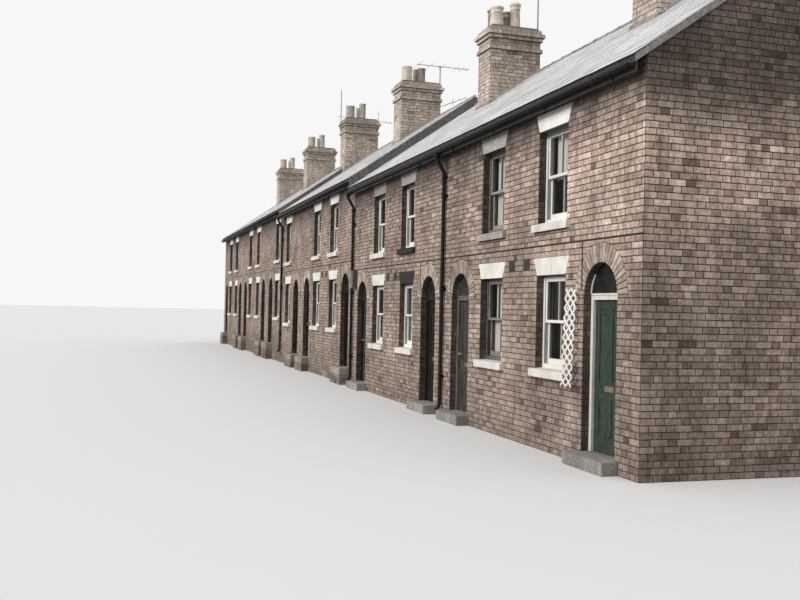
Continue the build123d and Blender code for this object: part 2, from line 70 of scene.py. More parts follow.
def window_x(house):
    return line_x(house) + 1.045 if house % 2 else line_x(house - 1) - 1.045


def door_x(house):
    return line_x(house - 1) - 0.85 if house % 2 else line_x(house) + 0.85


def window(house, head):
    """X of a house's windows, and the height of the head of the one with that many courses below it."""
    return window_x(house), rise_at(house) + head * COURSE


def stack_top(k):
    return max(rise_at(max(k, 1)), rise_at(min(k + 1, 12))) + STACK_HIGH


def air_brick(house, k, hand):
    return line_x(k) + hand * 0.26, rise_at(house) + 31 * COURSE


def roof_top(y, rise=0.0):
    return rise + EAVE_Z + (EAVE_Y - abs(y)) * SLOPE


def run_of(first, last):
    """The far and the near end of a section's walls."""
    far = line_x(last) - (BRICK_WALL / 2 if last == 12 else 0)
    near = line_x(first) + (BRICK_WALL / 2 if first == 0 else 0)
    return far, near


def random_tone(middle, spread, more=0.0):
    return min(max(rng.gauss(middle, spread) + more, 0.0), 1.0)


# Geometry: closed solids gathered into one mesh, each with a tone of its own
BOX = [[0, 1, 3, 2], [4, 6, 7, 5], [0, 4, 5, 1], [2, 3, 7, 6], [0, 2, 6, 4], [1, 5, 7, 3]]


def arc(radius, turns):
    return [(radius * math.cos(t), radius * math.sin(t)) for t in turns]


def belt(count, start=0):
    """Faces between a ring of points and the ring that follows it."""
    pairs = [(start + i, start + (i + 1) % count) for i in range(count)]
    return [[i, j, count + j, count + i] for i, j in pairs]


class Shape:
    def __init__(self):
        self.points, self.faces, self.tones, self.smooth = [], [], [], []

    def add(self, points, faces, tone=0.5, smooth=False):
        start = len(self.points)
        self.points += [tuple(p) for p in points]
        self.faces += [[start + i for i in face] for face in faces]
        self.tones += [tone] * len(faces)
        self.smooth += [smooth] * len(faces)

    def close(self, first, last, count, tone):
        """Flat faces over the two end rings, which start at these points."""
        self.faces += [list(range(start, start + count)) for start in (first, last)]
        self.tones += [tone] * 2
        self.smooth += [False] * 2

    def box(self, x0, x1, y0, y1, z0, z1, tone=0.5):
        self.add([(x, y, z) for x in (x0, x1) for y in (y0, y1) for z in (z0, z1)], BOX, tone)

    def prism(self, outline, shift, tone=0.5, smooth=False):
        """A flat outline carried along a vector, closed at both ends."""
        count = len(outline)
        moved = [tuple(Vector(p) + Vector(shift)) for p in outline]
        self.add(list(outline) + moved, belt(count), tone, smooth)
        start = len(self.points) - 2 * count
        self.close(start, start + count, count, tone)

    def bar(self, outline, x, length, side=1, tone=0.5, smooth=False):
        """An outline of (y, z) carried along X; side is -1 to mirror it to the street."""
        self.prism([(x, side * y, z) for y, z in outline], (length, 0, 0), tone, smooth)

    def lathe(self, profile, centre, sides=24, tone=0.5, upright=True):
        """A closed profile of (radius, height) turned about a line through centre, upright or along Y."""
        count = len(profile)
        points, faces = [], []
        for step in range(sides):
            turn = 2 * math.pi * step / sides
            for radius, height in profile:
                across, along = radius * math.cos(turn), radius * math.sin(turn)
                local = (across, along, height) if upright else (across, height, along)
                points.append(tuple(a + b for a, b in zip(centre, local)))
        for step in range(sides):
            here, there = step * count, (step + 1) % sides * count
            for i in range(count):
                j = (i + 1) % count
                faces.append([here + i, there + i, there + j, here + j])
        self.add(points, faces, tone, True)

    def tube(self, path, radius, sides=12, tone=0.5):
        """A round rod through points that lie in one plane of constant X, or along X."""
        points, faces = [], []
        for i, point in enumerate(path):
            run = (Vector(path[min(i + 1, len(path) - 1)]) - Vector(path[max(i - 1, 0)])).normalized()
            side = Vector((1, 0, 0)) if abs(run.x) < 0.9 else Vector((0, 1, 0))
            side = (side - run * side.dot(run)).normalized()
            up = run.cross(side)
            for t in [2 * math.pi * s / sides for s in range(sides)]:
                points.append(tuple(Vector(point) + radius * (math.cos(t) * side + math.sin(t) * up)))
        last = (len(path) - 1) * sides
        for ring in range(0, last, sides):
            faces += belt(sides, ring)
        self.add(points, faces, tone, True)
        start = len(self.points) - len(points)
        self.close(start, start + last, sides, tone)

    def make(self, name, look, slot=None, instead_of=(), body="root"):
        mesh = bpy.data.meshes.new(name)
        mesh.from_pydata(self.points, [], self.faces)
        mesh.attributes.new("tone", "FLOAT", "FACE").data.foreach_set("value", self.tones)
        mesh.polygons.foreach_set("use_smooth", self.smooth)
        solid = bmesh.new()
        solid.from_mesh(mesh)
        bmesh.ops.recalc_face_normals(solid, faces=solid.faces)
        solid.to_mesh(mesh)
        solid.free()
        mesh.materials.append(look)
        thing = bpy.data.objects.new(name, mesh)
        bpy.context.scene.collection.objects.link(thing)
        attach(thing, body)
        if instead_of:
            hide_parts(*instead_of)
        return thing


# Materials
class Look:
    """A principled material built from noises on the object's own coordinates."""

    def __init__(self, name, rough=0.8, metal=0.0, specular=0.5):
        self.material = bpy.data.materials.new(name)
        self.material.use_nodes = True
        self.tree = self.material.node_tree
        self.shader = self.tree.nodes["Principled BSDF"]
        self.shader.inputs["Roughness"].default_value = rough
        self.shader.inputs["Metallic"].default_value = metal
        self.shader.inputs["Specular IOR Level"].default_value = specular
        self.coords = self.tree.nodes.new("ShaderNodeTexCoord").outputs["Object"]

    def node(self, kind, **inputs):
        made = self.tree.nodes.new("ShaderNode" + kind)
        for name, value in inputs.items():
            made.inputs[name.replace("_", " ")].default_value = value
        return made

    def feed(self, value, socket):
        """Links an output to a socket, or writes a number or a colour into it."""
        if hasattr(value, "is_linked"):
            self.tree.links.new(value, socket)
        else:
            socket.default_value = (*value, 1) if hasattr(value, "__len__") else value

    def noise(self, scale, detail=4.0, stretch=(1, 1, 1), rough=0.55):
        moved = self.node("Mapping", Scale=stretch)
        self.feed(self.coords, moved.inputs["Vector"])
        made = self.node("TexNoise", Scale=scale, Detail=detail, Roughness=rough)
        self.feed(moved.outputs["Vector"], made.inputs["Vector"])
        return made.outputs["Fac"]

    def tone(self):
        made = self.node("Attribute")
        made.attribute_name = "tone"
        return made.outputs["Fac"]

    def ramp(self, factor, *stops):
        made = self.node("ValToRGB")
        ramp = made.color_ramp
        while len(ramp.elements) < len(stops):
            ramp.elements.new(0.5)
        for element, (place, colour) in zip(ramp.elements, stops):
            element.position = place
            element.color = (*colour, 1) if hasattr(colour, "__len__") else (colour, colour, colour, 1)
        self.feed(factor, made.inputs["Fac"])
        return made.outputs["Color"]

    def mottle(self, low, high, scale, detail=5, at=(0.35, 0.65), stretch=(1, 1, 1)):
        """A noise that goes from one colour or brightness to another."""
        return self.ramp(self.noise(scale, detail, stretch), (at[0], low), (at[1], high))

    def mix(self, factor, first, second, mode="MIX"):
        made = self.node("Mix")
        made.data_type = "RGBA"
        made.blend_type = mode
        for value, socket in ((factor, 0), (first, 6), (second, 7)):
            self.feed(value, made.inputs[socket])
        return made.outputs[2]

    def times(self, first, second):
        return self.mix(1.0, first, second, "MULTIPLY")

    def maths(self, kind, first, second=0.5):
        made = self.node("Math")
        made.operation = kind
        self.feed(first, made.inputs[0])
        self.feed(second, made.inputs[1])
        return made.outputs[0]

    def vector(self, kind, first, second=(0, 0, 0)):
        made = self.node("VectorMath")
        made.operation = kind
        self.feed(first, made.inputs[0])
        made.inputs[1].default_value = second
        return made.outputs[0]

    def split(self, vector):
        apart = self.node("SeparateXYZ")
        self.feed(vector, apart.inputs[0])
        return apart.outputs

    def place(self, axis):
        return self.split(self.coords)[axis]

    def facing(self, axis):
        """The part of a face's own direction along an axis."""
        return self.split(self.node("NewGeometry").outputs["True Normal"])[axis]

    def near(self, centre, reach):
        """1 inside a box about centre, 0 outside it."""
        size = self.vector("ABSOLUTE", self.vector("SUBTRACT", self.coords, centre))
        over = self.split(self.vector("SUBTRACT", size, reach))
        most = self.maths("MAXIMUM", self.maths("MAXIMUM", over[0], over[1]), over[2])
        return self.maths("LESS_THAN", most, 0.0)

    def climb(self, value, low, high):
        """0 up to low, 1 from high on."""
        made = self.node("MapRange", From_Min=low, From_Max=high)
        self.feed(value, made.inputs["Value"])
        return made.outputs["Result"]

    def colour(self, output):
        self.feed(output, self.shader.inputs["Base Color"])

    def rough(self, output):
        self.feed(output, self.shader.inputs["Roughness"])

    def bump(self, height, distance=0.002, strength=1.0):
        made = self.node("Bump", Strength=strength, Distance=distance)
        self.feed(height, made.inputs["Height"])
        self.feed(made.outputs["Normal"], self.shader.inputs["Normal"])


def height_in_section(look):
    """The height over the foot of the walls of the section a point is in."""
    x, z = look.place(0), look.place(2)
    steps = look.maths("MULTIPLY", look.maths("LESS_THAN", x, line_x(4)), 3 * COURSE)
    more = look.maths("MULTIPLY", look.maths("LESS_THAN", x, line_x(7)), 2 * COURSE)
    return look.maths("SUBTRACT", look.maths("SUBTRACT", z, steps), more)


def weather_and_eave_shade(look, colour):
    """Sooty dirt and painted shade under the eaves of each section, darker towards the foot, and a paler
    upper part at the near end.
    """
    near_end, upper = look.climb(look.place(0), 14.0, 18.5), look.climb(look.place(2), 2.3, 3.6)
    paler_near_top = look.maths("MULTIPLY", near_end, upper)
    colour = look.times(colour, look.ramp(paler_near_top, (0.0, 1.0), (1.0, 1.75)))
    height = look.maths("ADD", height_in_section(look), look.maths("MULTIPLY", look.noise(1.6, 4), 0.5))
    # The last stop darkens the courses under the eaves: sooty dirt and painted shade of the eaves.
    stops = ((0.0, 0.7), (0.18, 0.94), (0.3, 1.0), (0.78, 1.0), (0.9, 0.28))
    return look.times(colour, look.ramp(look.maths("DIVIDE", height, 5.5), *stops))


def dirty(look, colour, low=0.55, scale=1.1):
    """Darkens a colour in broad patches and in streaks that run down."""
    patches = look.mottle(low, 1.0, scale, 5, (0.3, 0.62))
    streaks = look.mottle(low + 0.15, 1.0, 3.0, 4, (0.34, 0.56), (3.0, 3.0, 0.35))
    return look.times(look.times(colour, patches), streaks)


def brick_look(name, dark, mid, light, darkening=0.5, weather_and_shade=None):
    """Bricks toned one by one; the function given last adds weather marks and painted shade to them."""
    look = Look(name, 0.88, specular=0.3)
    stops = ((0.0, dark), (0.45, mid), (0.8, light), (1.0, [c * 1.25 for c in light]))
    base = look.ramp(look.tone(), *stops)
    base = look.times(base, look.mottle(0.6, 1.25, 70, 5, (0.3, 0.7)))
    base = look.times(base, look.mottle(0.72, 1.14, 14, 4))
    if weather_and_shade:
        base = weather_and_shade(look, base)
    look.colour(dirty(look, base, darkening))
    look.bump(look.noise(120, 6), 0.0015, 0.8)
    return look.material


def plain_look(name, first, second, rough=0.7, grain=30.0, dirt=0.8, bump=0.0008, metal=0.0,
               stretch=(1, 1, 1), shine=0.5):
    look = Look(name, rough, metal, shine)
    base = look.mottle(first, second, grain, stretch=stretch)
    look.colour(dirty(look, base, dirt))
    look.rough(look.mottle(rough * 0.85, min(rough * 1.15, 1.0), grain * 1.7, 3, (0.3, 0.7)))
    look.bump(look.noise(grain * 3, 5, stretch), bump)
    return look.material


def wall_look(name, centre, reach, joint=(0.05, 0.045, 0.04)):
    """Sooty mortar, but plaster inside a box about centre."""
    look = Look(name, 0.95, specular=0.2)
    mortar = look.mottle([c * 0.6 for c in joint], [c * 1.5 for c in joint], 60, 5, (0.3, 0.7))
    plaster = look.mottle((0.5, 0.46, 0.39), (0.6, 0.56, 0.49), 5)
    look.colour(look.mix(look.near(centre, reach), dirty(look, mortar, 0.7), plaster))
    look.bump(look.noise(150, 5), 0.002, 0.7)
    return look.material


def shaded_inside(look, colour):
    """Painted shade: darkens what lies behind the face of the street wall, where the arches turn into the
    doorways.
    """
    inside = look.climb(look.place(1), -3.158, -3.14)
    return look.times(colour, look.ramp(inside, (0.0, 1.0), (1.0, 0.3)))


# Street bricks: sooty dirt and painted shade under the eaves, from the function given last.
FRONT_BRICK = brick_look(
    "front_brick", (0.16, 0.10, 0.08), (0.44, 0.325, 0.26), (0.6, 0.48, 0.4), 0.58, weather_and_eave_shade)
# Reveal bricks toned near black as painted shade in the window and door openings.
SHADED_REVEAL_BRICK = brick_look("reveal_brick", (0.06, 0.04, 0.035), (0.15, 0.11, 0.09), (0.22, 0.17, 0.14))
CHIMNEY_BRICK = brick_look("chimney_brick", (0.34, 0.25, 0.205), (0.66, 0.535, 0.44), (0.8, 0.68, 0.58), 0.6)
# Arch wedges: pale brick, darkened as painted shade where they turn into the doorway.
ARCH_BRICK = brick_look(
    "arch_brick", (0.3, 0.22, 0.175), (0.52, 0.41, 0.33), (0.67, 0.545, 0.455), 0.62, shaded_inside)
STREET_MORTAR = wall_look("street_mortar", (0, 0, 4), (19.6, 2.99, 9))
PARTY_MORTAR = wall_look("party_mortar", (0, 0, 0), (19.6, 4, 4.7))
CHIMNEY_MORTAR = wall_look("chimney_mortar", (0, 0, 0), (30, 4, 5.2), (0.13, 0.115, 0.1))


def slate_look():
    look = Look("roof_slate", 0.55)
    # Light greys: the slate's own grey lifted as painted reflection of the sky.
    stops = ((0.0, (0.41, 0.41, 0.415)), (0.5, (0.585, 0.585, 0.585)), (1.0, (0.73, 0.73, 0.715)))
    base = look.ramp(look.tone(), *stops)
    lichen = look.mottle(0.0, 0.6, 9, 6, (0.58, 0.8))
    base = look.mix(lichen, base, (0.5, 0.49, 0.43))
    face = look.mottle(0.8, 1.12, 25, 5, (0.3, 0.7), (1, 0.4, 0.4))
    look.colour(dirty(look, look.times(base, face), 0.78, 0.7))
    look.rough(look.mottle(0.42, 0.7, 18, 4, (0.3, 0.7)))
    look.bump(look.noise(60, 6, (1, 0.35, 0.35)), 0.0022, 0.7)
    return look.material


def painted_stone(name, bright, dull, spots):
    """Old paint on stone; each spot is a box where the stone is unpainted or painted otherwise, or carries
    painted light or painted shade; undersides are darkened as painted shade.
    """
    look = Look(name, 0.75, specular=0.08)
    flakes = look.ramp(look.noise(16, 7, rough=0.7), (0.3, 0.0), (0.4, 1.0))
    paint = look.mottle([c * 0.88 for c in bright], bright, 3.5, 4)
    base = look.mix(flakes, dull, paint)
    for centre, reach, first, second in spots:
        stone_paint_and_light = look.mottle(first, second, 45, 6, (0.38, 0.6))
        base = look.mix(look.near(centre, reach), base, stone_paint_and_light)
    # Faces that look down are darkened as painted shade.
    beneath = look.ramp(look.maths("LESS_THAN", look.facing(2), -0.7), (0.0, 1.0), (1.0, 0.2))
    look.colour(look.times(dirty(look, base, 0.8, 2.2), beneath))
    look.bump(look.noise(40, 6), 0.0018, 0.8)
    return look.material


REAR = ((0, 3.1, 2.5), (30, 0.3, 5))
BLACKENED = ((0.018, 0.017, 0.016), (0.05, 0.046, 0.042))
BARE_STONE = ((0.3, 0.26, 0.22), (0.46, 0.42, 0.36))
OFF_WHITE = ((0.74, 0.72, 0.66), (0.84, 0.82, 0.76))
LINTEL_LIFT, SILL_LIFT = 0.12, -1.38


def about_stone(house, head, lift, first, second):
    """A spot over the lintel (lift above the window's head) or the sill (below it)."""
    x, z = window(house, head)
    return (x, -3.1, z + lift), (0.7, 0.3, 0.14), first, second


LINTEL = painted_stone("lintel_paint", (0.82, 0.79, 0.71), (0.42, 0.38, 0.33), (
    about_stone(3, GROUND, LINTEL_LIFT, *BLACKENED),
    # Upper lintels of houses 2 to 4: dull greys, partly dirt and partly painted shade of the eaves.
    about_stone(2, UPPER, LINTEL_LIFT, (0.33, 0.31, 0.28), (0.55, 0.52, 0.47)),
    about_stone(3, UPPER, LINTEL_LIFT, (0.26, 0.245, 0.22), (0.44, 0.415, 0.375)),
    about_stone(4, UPPER, LINTEL_LIFT, (0.22, 0.208, 0.187), (0.38, 0.358, 0.324)),
    # The upper lintel of house 1: painted light, brighter than its paint.
    about_stone(1, UPPER, LINTEL_LIFT, (0.92, 0.89, 0.82), (0.97, 0.95, 0.88)),
    (*REAR, *BARE_STONE),
))
SILL = painted_stone("sill_paint", (0.76, 0.73, 0.66), (0.36, 0.33, 0.29), (
    about_stone(3, UPPER, SILL_LIFT, *BLACKENED),
    about_stone(2, UPPER, SILL_LIFT, (0.2, 0.18, 0.16), (0.5, 0.47, 0.42)),
    (*REAR, *BARE_STONE),
))
WINDOW_PAINT = plain_look("window_paint", *OFF_WHITE, 0.5, 22, 0.84, 0.0006, 0, (1, 1, 0.3))


def shaded_heads(look, colour):
    """Painted shade on window frames: darkened under the heads and in their grooves, and linings indoors
    darkened.
    """
    height = height_in_section(look)
    upper = look.climb(height, UPPER * COURSE - 0.11, UPPER * COURSE - 0.06)
    lower = look.climb(height, GROUND * COURSE - 0.045, GROUND * COURSE - 0.025)
    lower = look.maths("MULTIPLY", lower, look.maths("LESS_THAN", height, 2.6))
    sideways = look.maths("GREATER_THAN", look.maths("ABSOLUTE", look.facing(0)), 0.7)
    shaded_groove = look.maths("MULTIPLY", sideways, 0.75)
    darkest = look.maths("MAXIMUM", look.maths("MAXIMUM", upper, lower), shaded_groove)
    darkening = look.ramp(darkest, (0.0, 1.0), (1.0, 0.2))
    # Linings behind the frames are darkened as painted shade of the room.
    shaded_lining = look.ramp(look.climb(look.place(1), -2.948, -2.946), (0.0, 1.0), (1.0, 0.12))
    return look.times(look.times(colour, darkening), shaded_lining)


def joinery_look(name, first, second, spots, weather_and_shade=None, shine=0.5):
    """Painted wood, in another paint inside each spot's box; the function given after the spots adds painted
    shade to it.
    """
    look = Look(name, 0.5, specular=shine)
    grain = look.noise(22, 5, (1, 1, 0.3))
    base = look.ramp(grain, (0.35, first), (0.65, second))
    for centre, reach, low, high in spots:
        base = look.mix(look.near(centre, reach), base, look.ramp(grain, (0.35, low), (0.65, high)))
    if weather_and_shade:
        base = weather_and_shade(look, base)
    look.colour(dirty(look, base, 0.84))
    look.rough(look.mottle(0.42, 0.6, 37, 3, (0.3, 0.7)))
    look.bump(look.noise(66, 5, (1, 1, 0.3)), 0.0006)
    return look.material


def about_window(house, head, low, high):
    x, z = window(house, head - 8)
    return (x, -3.0, z), (0.45, 0.2, 0.67), low, high


def about_door(house, low, high):
    return (door_x(house), -3.0, rise_at(house) + 1.2), (0.45, 0.2, 1.25), low, high


# Box frames and sashes: painted shade under the heads, in the grooves and on the linings indoors.
BOX_FRAMES = joinery_look("box_frames", *OFF_WHITE, (
    about_window(2, UPPER, (0.1, 0.095, 0.085), (0.19, 0.18, 0.16)),
    about_window(2, GROUND, (0.07, 0.066, 0.06), (0.13, 0.122, 0.11)),
), shaded_heads)
SASHES = joinery_look("sashes", (0.76, 0.74, 0.68), (0.86, 0.84, 0.78), (
    about_window(2, UPPER, (0.2, 0.19, 0.17), (0.34, 0.32, 0.29)),
    about_window(2, GROUND, (0.14, 0.132, 0.12), (0.26, 0.245, 0.22)),
), shaded_heads)
# Door frames: near-black paint, taken this dark partly as painted shade of the deep doorways.
FRAME_PAINT = joinery_look("frame_paint", (0.016, 0.014, 0.012), (0.034, 0.029, 0.025), (
    about_door(1, (0.6, 0.58, 0.52), (0.74, 0.71, 0.64)),
    about_door(2, (0.1, 0.095, 0.085), (0.17, 0.16, 0.145)),
), None, 0.03)
# Doors: dark paints, taken near black partly as painted shade of the deep doorways.
DOOR_PAINT = joinery_look("door_paint", (0.014, 0.012, 0.011), (0.03, 0.026, 0.022), (
    about_door(1, (0.03, 0.045, 0.035), (0.055, 0.075, 0.06)),
    about_door(2, (0.04, 0.037, 0.033), (0.075, 0.068, 0.062)),
    about_door(4, (0.03, 0.04, 0.032), (0.05, 0.065, 0.052)),
    about_door(7, (0.06, 0.025, 0.02), (0.1, 0.045, 0.035)),
    about_door(10, (0.025, 0.035, 0.05), (0.045, 0.06, 0.08)),
    (*REAR, (0.05, 0.052, 0.045), (0.09, 0.092, 0.08)),
), None, 0.04)
MORTAR_GREYS = ((0.2, 0.19, 0.175), (0.36, 0.345, 0.32))
RIDGE_CLAY = plain_look("ridge_clay", (0.3, 0.28, 0.265), (0.46, 0.44, 0.42), 0.85, 25, 0.6, 0.0015)
FASCIA = plain_look("fascia_paint", (0.02,) * 3, (0.045, 0.042, 0.04), 0.55, 15, 0.7, 0.0006, 0, (0.2, 1, 1))
IRON = plain_look("iron", (0.008,) * 3, (0.02, 0.019, 0.018), 0.62, 40, 0.7, 0.0008, shine=0.15)
TERRACOTTA = plain_look("terracotta", (0.58, 0.5, 0.4), (0.78, 0.71, 0.6), 0.8, 14, 0.7, 0.001)
DARK_POT = plain_look("dark_pot", (0.27, 0.215, 0.175), (0.46, 0.38, 0.315), 0.85, 14, 0.6, 0.001)
WORN_POT = plain_look("worn_pot", (0.42, 0.36, 0.3), (0.66, 0.59, 0.51), 0.85, 14, 0.6, 0.001)
STEP_RENDER = plain_look("step_render", (0.09, 0.085, 0.08), (0.19, 0.18, 0.168), 0.95, 18, 0.7, 0.002)
OLD_MORTAR = plain_look("old_mortar", *MORTAR_GREYS, 0.95, 18, 0.7, 0.002)
FLAUNCHING = plain_look("flaunching", (0.3, 0.29, 0.26), (0.5, 0.48, 0.44), 0.95, 25, 0.6, 0.002)
AERIAL = plain_look("aerial_metal", (0.22,) * 3, (0.4,) * 3, 0.45, 60, 0.8, 0.0003, 0.8)
BOX_GREY = plain_look("box_grey", (0.05,) * 3, (0.09, 0.088, 0.085), 0.55, 20, 0.7, 0.0005)
CABLE = plain_look("cable_black", (0.015,) * 3, (0.035, 0.034, 0.033), 0.7, 50, 0.8, 0.0003)
AIR_BRICK = plain_look("air_brick", (0.05, 0.045, 0.042), (0.12, 0.105, 0.095), 0.85, 60, 0.7, 0.001)
BRASS = plain_look("brass", (0.3, 0.22, 0.1), (0.45, 0.34, 0.16), 0.35, 50, 0.7, 0.0002, 0.9)


def roof_deck_look():
    """Dark boards beneath, and pointed with mortar where the deck ends at a verge."""
    look = Look("roof_deck", 0.9)
    boards = look.mottle((0.02, 0.018, 0.016), (0.05, 0.044, 0.038), 12)
    pointing = look.mottle(*MORTAR_GREYS, 18)
    end = look.maths("GREATER_THAN", look.maths("ABSOLUTE", look.facing(0)), 0.7)
    look.colour(look.mix(end, boards, pointing))
    look.bump(look.noise(50, 5), 0.001)
    return look.material


def step_look():
    """Worn stone, and mortar in the brickwork under the steps of the raised sections."""
    look = Look("step_stone", 0.9)
    stone = look.mottle((0.26, 0.24, 0.21), (0.4, 0.37, 0.33), 35)
    beneath = look.maths("LESS_THAN", height_in_section(look), 0.001)
    look.colour(look.mix(beneath, dirty(look, stone, 0.6), (0.05, 0.045, 0.04)))
    look.bump(look.noise(105, 5), 0.002)
    return look.material


def glass_look():
    look = Look("window_glass", 0.04, specular=0.5)
    look.colour(look.mottle((0.012, 0.014, 0.016), (0.03, 0.033, 0.036), 2.5, 4))
    look.rough(look.mottle(0.03, 0.12, 9))
    look.bump(look.noise(2.2, 2), 0.0012, 0.35)
    look.shader.inputs["Alpha"].default_value = 0.16
    return look.material


def board_look():
    look = Look("floor_boards", 0.6)
    boards = look.node(
        "TexBrick", Scale=1.0, Mortar_Size=0.002, Brick_Width=2.4, Row_Height=0.13,
        Color1=(0.24, 0.16, 0.095, 1), Color2=(0.33, 0.23, 0.14, 1), Mortar=(0.03, 0.02, 0.015, 1))
    look.feed(look.coords, boards.inputs["Vector"])
    grain = look.mottle(0.75, 1.15, 20, 5, (0.3, 0.7), (0.15, 1, 1))
    look.colour(look.times(boards.outputs["Color"], grain))
    look.bump(boards.outputs["Fac"], -0.002, 0.8)
    return look.material


def panel_look():
    """The arch panels: mid grey over the second door; near black elsewhere, as painted shade of the unlit
    hall behind the fanlight.
    """
    look = Look("arch_panel", 0.6, specular=0.03)
    dark = look.mottle((0.01, 0.01, 0.01), (0.026, 0.025, 0.023), 6, 4)
    grey = look.mottle((0.024, 0.023, 0.022), (0.05, 0.048, 0.045), 7)
    look.colour(look.mix(look.near((door_x(2), -3.0, 2.4), (0.6, 0.4, 0.6)), dark, grey))
    look.bump(look.noise(60, 4), 0.0006)
    return look.material


def net_look():
    look = Look("net_curtain", 0.9, specular=0.1)
    look.colour(look.mottle((0.8, 0.78, 0.73), (0.9, 0.88, 0.83), 60, 4, (0.3, 0.7), (1, 1, 0.2)))
    look.bump(look.noise(400, 2), 0.0003)
    return look.material


UNDERSIDE, STEP_STONE, GLASS, BOARDS = roof_deck_look(), step_look(), glass_look(), board_look()
SLATE, PANEL, NET = slate_look(), panel_look(), net_look()


# Brickwork: courses of Flemish bond round the openings
JOINT, BRICK_PROUD, BRICK_INSET, BRICK_ROOT = 0.0085, 0.004, 0.003, -0.003
STRETCHER, HEADER, SHORTEST = 0.238, 0.1185, 0.05


class Block:
    """A part of a wall that a course is cut round: its heights and its ends at a height."""

    def __init__(self, low, high, ends, top=None):
        self.low, self.high, self.ends, self.top = low, high, ends, top


def square(left, right, low, high):
    return Block(low, high, lambda v: (left, right))


def splayed(x, head, width):
    def ends(v):
        half = width / 2 + 0.1 * (v - head) / (3 * COURSE)
        return x - half, x + half
    return Block(head, head + 3 * COURSE, ends)


def arched(x, spring):
    radius = ARCH_R + RING + 0.004

    def half(v):
        return math.sqrt(max(radius ** 2 - max(v - spring, 0) ** 2, 0))

    def top(u):
        return spring + math.sqrt(max(radius ** 2 - (u - x) ** 2, 0))
    return Block(spring, spring + radius, lambda v: (x - half(v), x + half(v)), top)


def spans_of(low, high, start, end, blocks):
    """The free stretches of a course, with the heights that its bricks keep within."""
    edges, tops, foots = [], [], []
    for block in blocks:
        lo, hi = max(low, block.low), min(high, block.high)
        if hi - lo < 0.002:
            continue
        (a0, a1), (b0, b1) = block.ends(lo), block.ends(hi)
        if lo > low + 0.02:
            tops.append((min(a0, b0), max(a1, b1), lo))
        elif hi < high - 0.02 and block.top:
            foots.append(block)
        else:
            edges.append(((a0, b0), (a1, b1)))
    edges.sort()
    lefts = [start] + [edge[1] for edge in edges]
    rights = [edge[0] for edge in edges] + [end]
    spans = [(a, b) for a, b in zip(lefts, rights) if max(b) - min(a) > 0.03]
    return spans, tops, foots


def lay_course(shape, put, row, start, end, blocks=(), bond=0, pale=0.0):
    """A course between two ends, each a place or its places at the foot and at the top."""
    low, high = row * COURSE, (row + 1) * COURSE
    start, end = [e if isinstance(e, tuple) else (e, e) for e in (start, end)]
    spans, tops, foots = spans_of(low, high, start, end, blocks)
    period = STRETCHER + HEADER
    shift = ((row + bond) % 2) * (period / 2) + 0.02 * math.sin((row + bond) * 1.7)
    for left, right in spans:
        ends = sorted({edge for top in tops for edge in top[:2] if max(left) < edge < min(right)})
        joints = []
        n = math.floor((min(left) - shift) / period)
        while shift + n * period < max(right):
            joints += [(shift + n * period, True), (shift + n * period + STRETCHER, False)]
            n += 1
        fixed = [max(left), min(right)] + ends
        joints = [j for j in joints if max(left) < j[0] < min(right)]
        joints = [j for j in joints if min(abs(j[0] - f) for f in fixed) > SHORTEST]
        cuts = sorted(joints + [(edge, True) for edge in ends])
        edges = [(left, True)] + [((c, c), kind) for c, kind in cuts] + [(right, True)]
        for (a, is_stretcher), (b, _) in zip(edges, edges[1:]):
            tone = random_tone(0.52 if is_stretcher else 0.45, 0.12, pale)
            if rng.random() < 0.025:
                tone = rng.choice((0.05, 0.9))
            corners = [(a[0], low), (b[0], low), (b[1], high), (a[1], high)]
            middle = sum(u for u, _ in corners) / 4
            ceiling = min([top[2] for top in tops if top[0] < middle < top[1]] + [high])
            half = JOINT / 2
            made = []
            for i, (u, v) in enumerate(corners):
                u += half if i in (0, 3) else -half
                v = v + half if i < 2 else ceiling - half
                for block in foots:
                    if i < 2 and block.ends(low)[0] < u < block.ends(low)[1]:
                        v = max(v, block.top(u) + half)
                made.append((u, v))
            if min(made[1][0] - made[0][0], made[2][0] - made[3][0]) < -0.001:
                continue
            if made[2][1] - max(made[0][1], made[1][1]) < 0.012:
                continue
            lay_brick(shape, put, made, tone, BRICK_PROUD + rng.uniform(-0.0015, 0.001))


def lay_brick(shape, put, corners, tone, proud):
    """A brick's face, proud of the mortar, with its edges sloped back."""
    cu = sum(u for u, _ in corners) / 4
    cv = sum(v for _, v in corners) / 4
    face = []
    for u, v in corners:
        du, dv = min(BRICK_INSET, abs(u - cu) / 2), min(BRICK_INSET, abs(v - cv) / 2)
        face.append(put(u - math.copysign(du, u - cu), v - math.copysign(dv, v - cv), proud))
    back = [put(u, v, BRICK_ROOT) for u, v in corners]
    shape.add(back + face, [[3, 2, 1, 0], [4, 5, 6, 7]] + belt(4), tone)


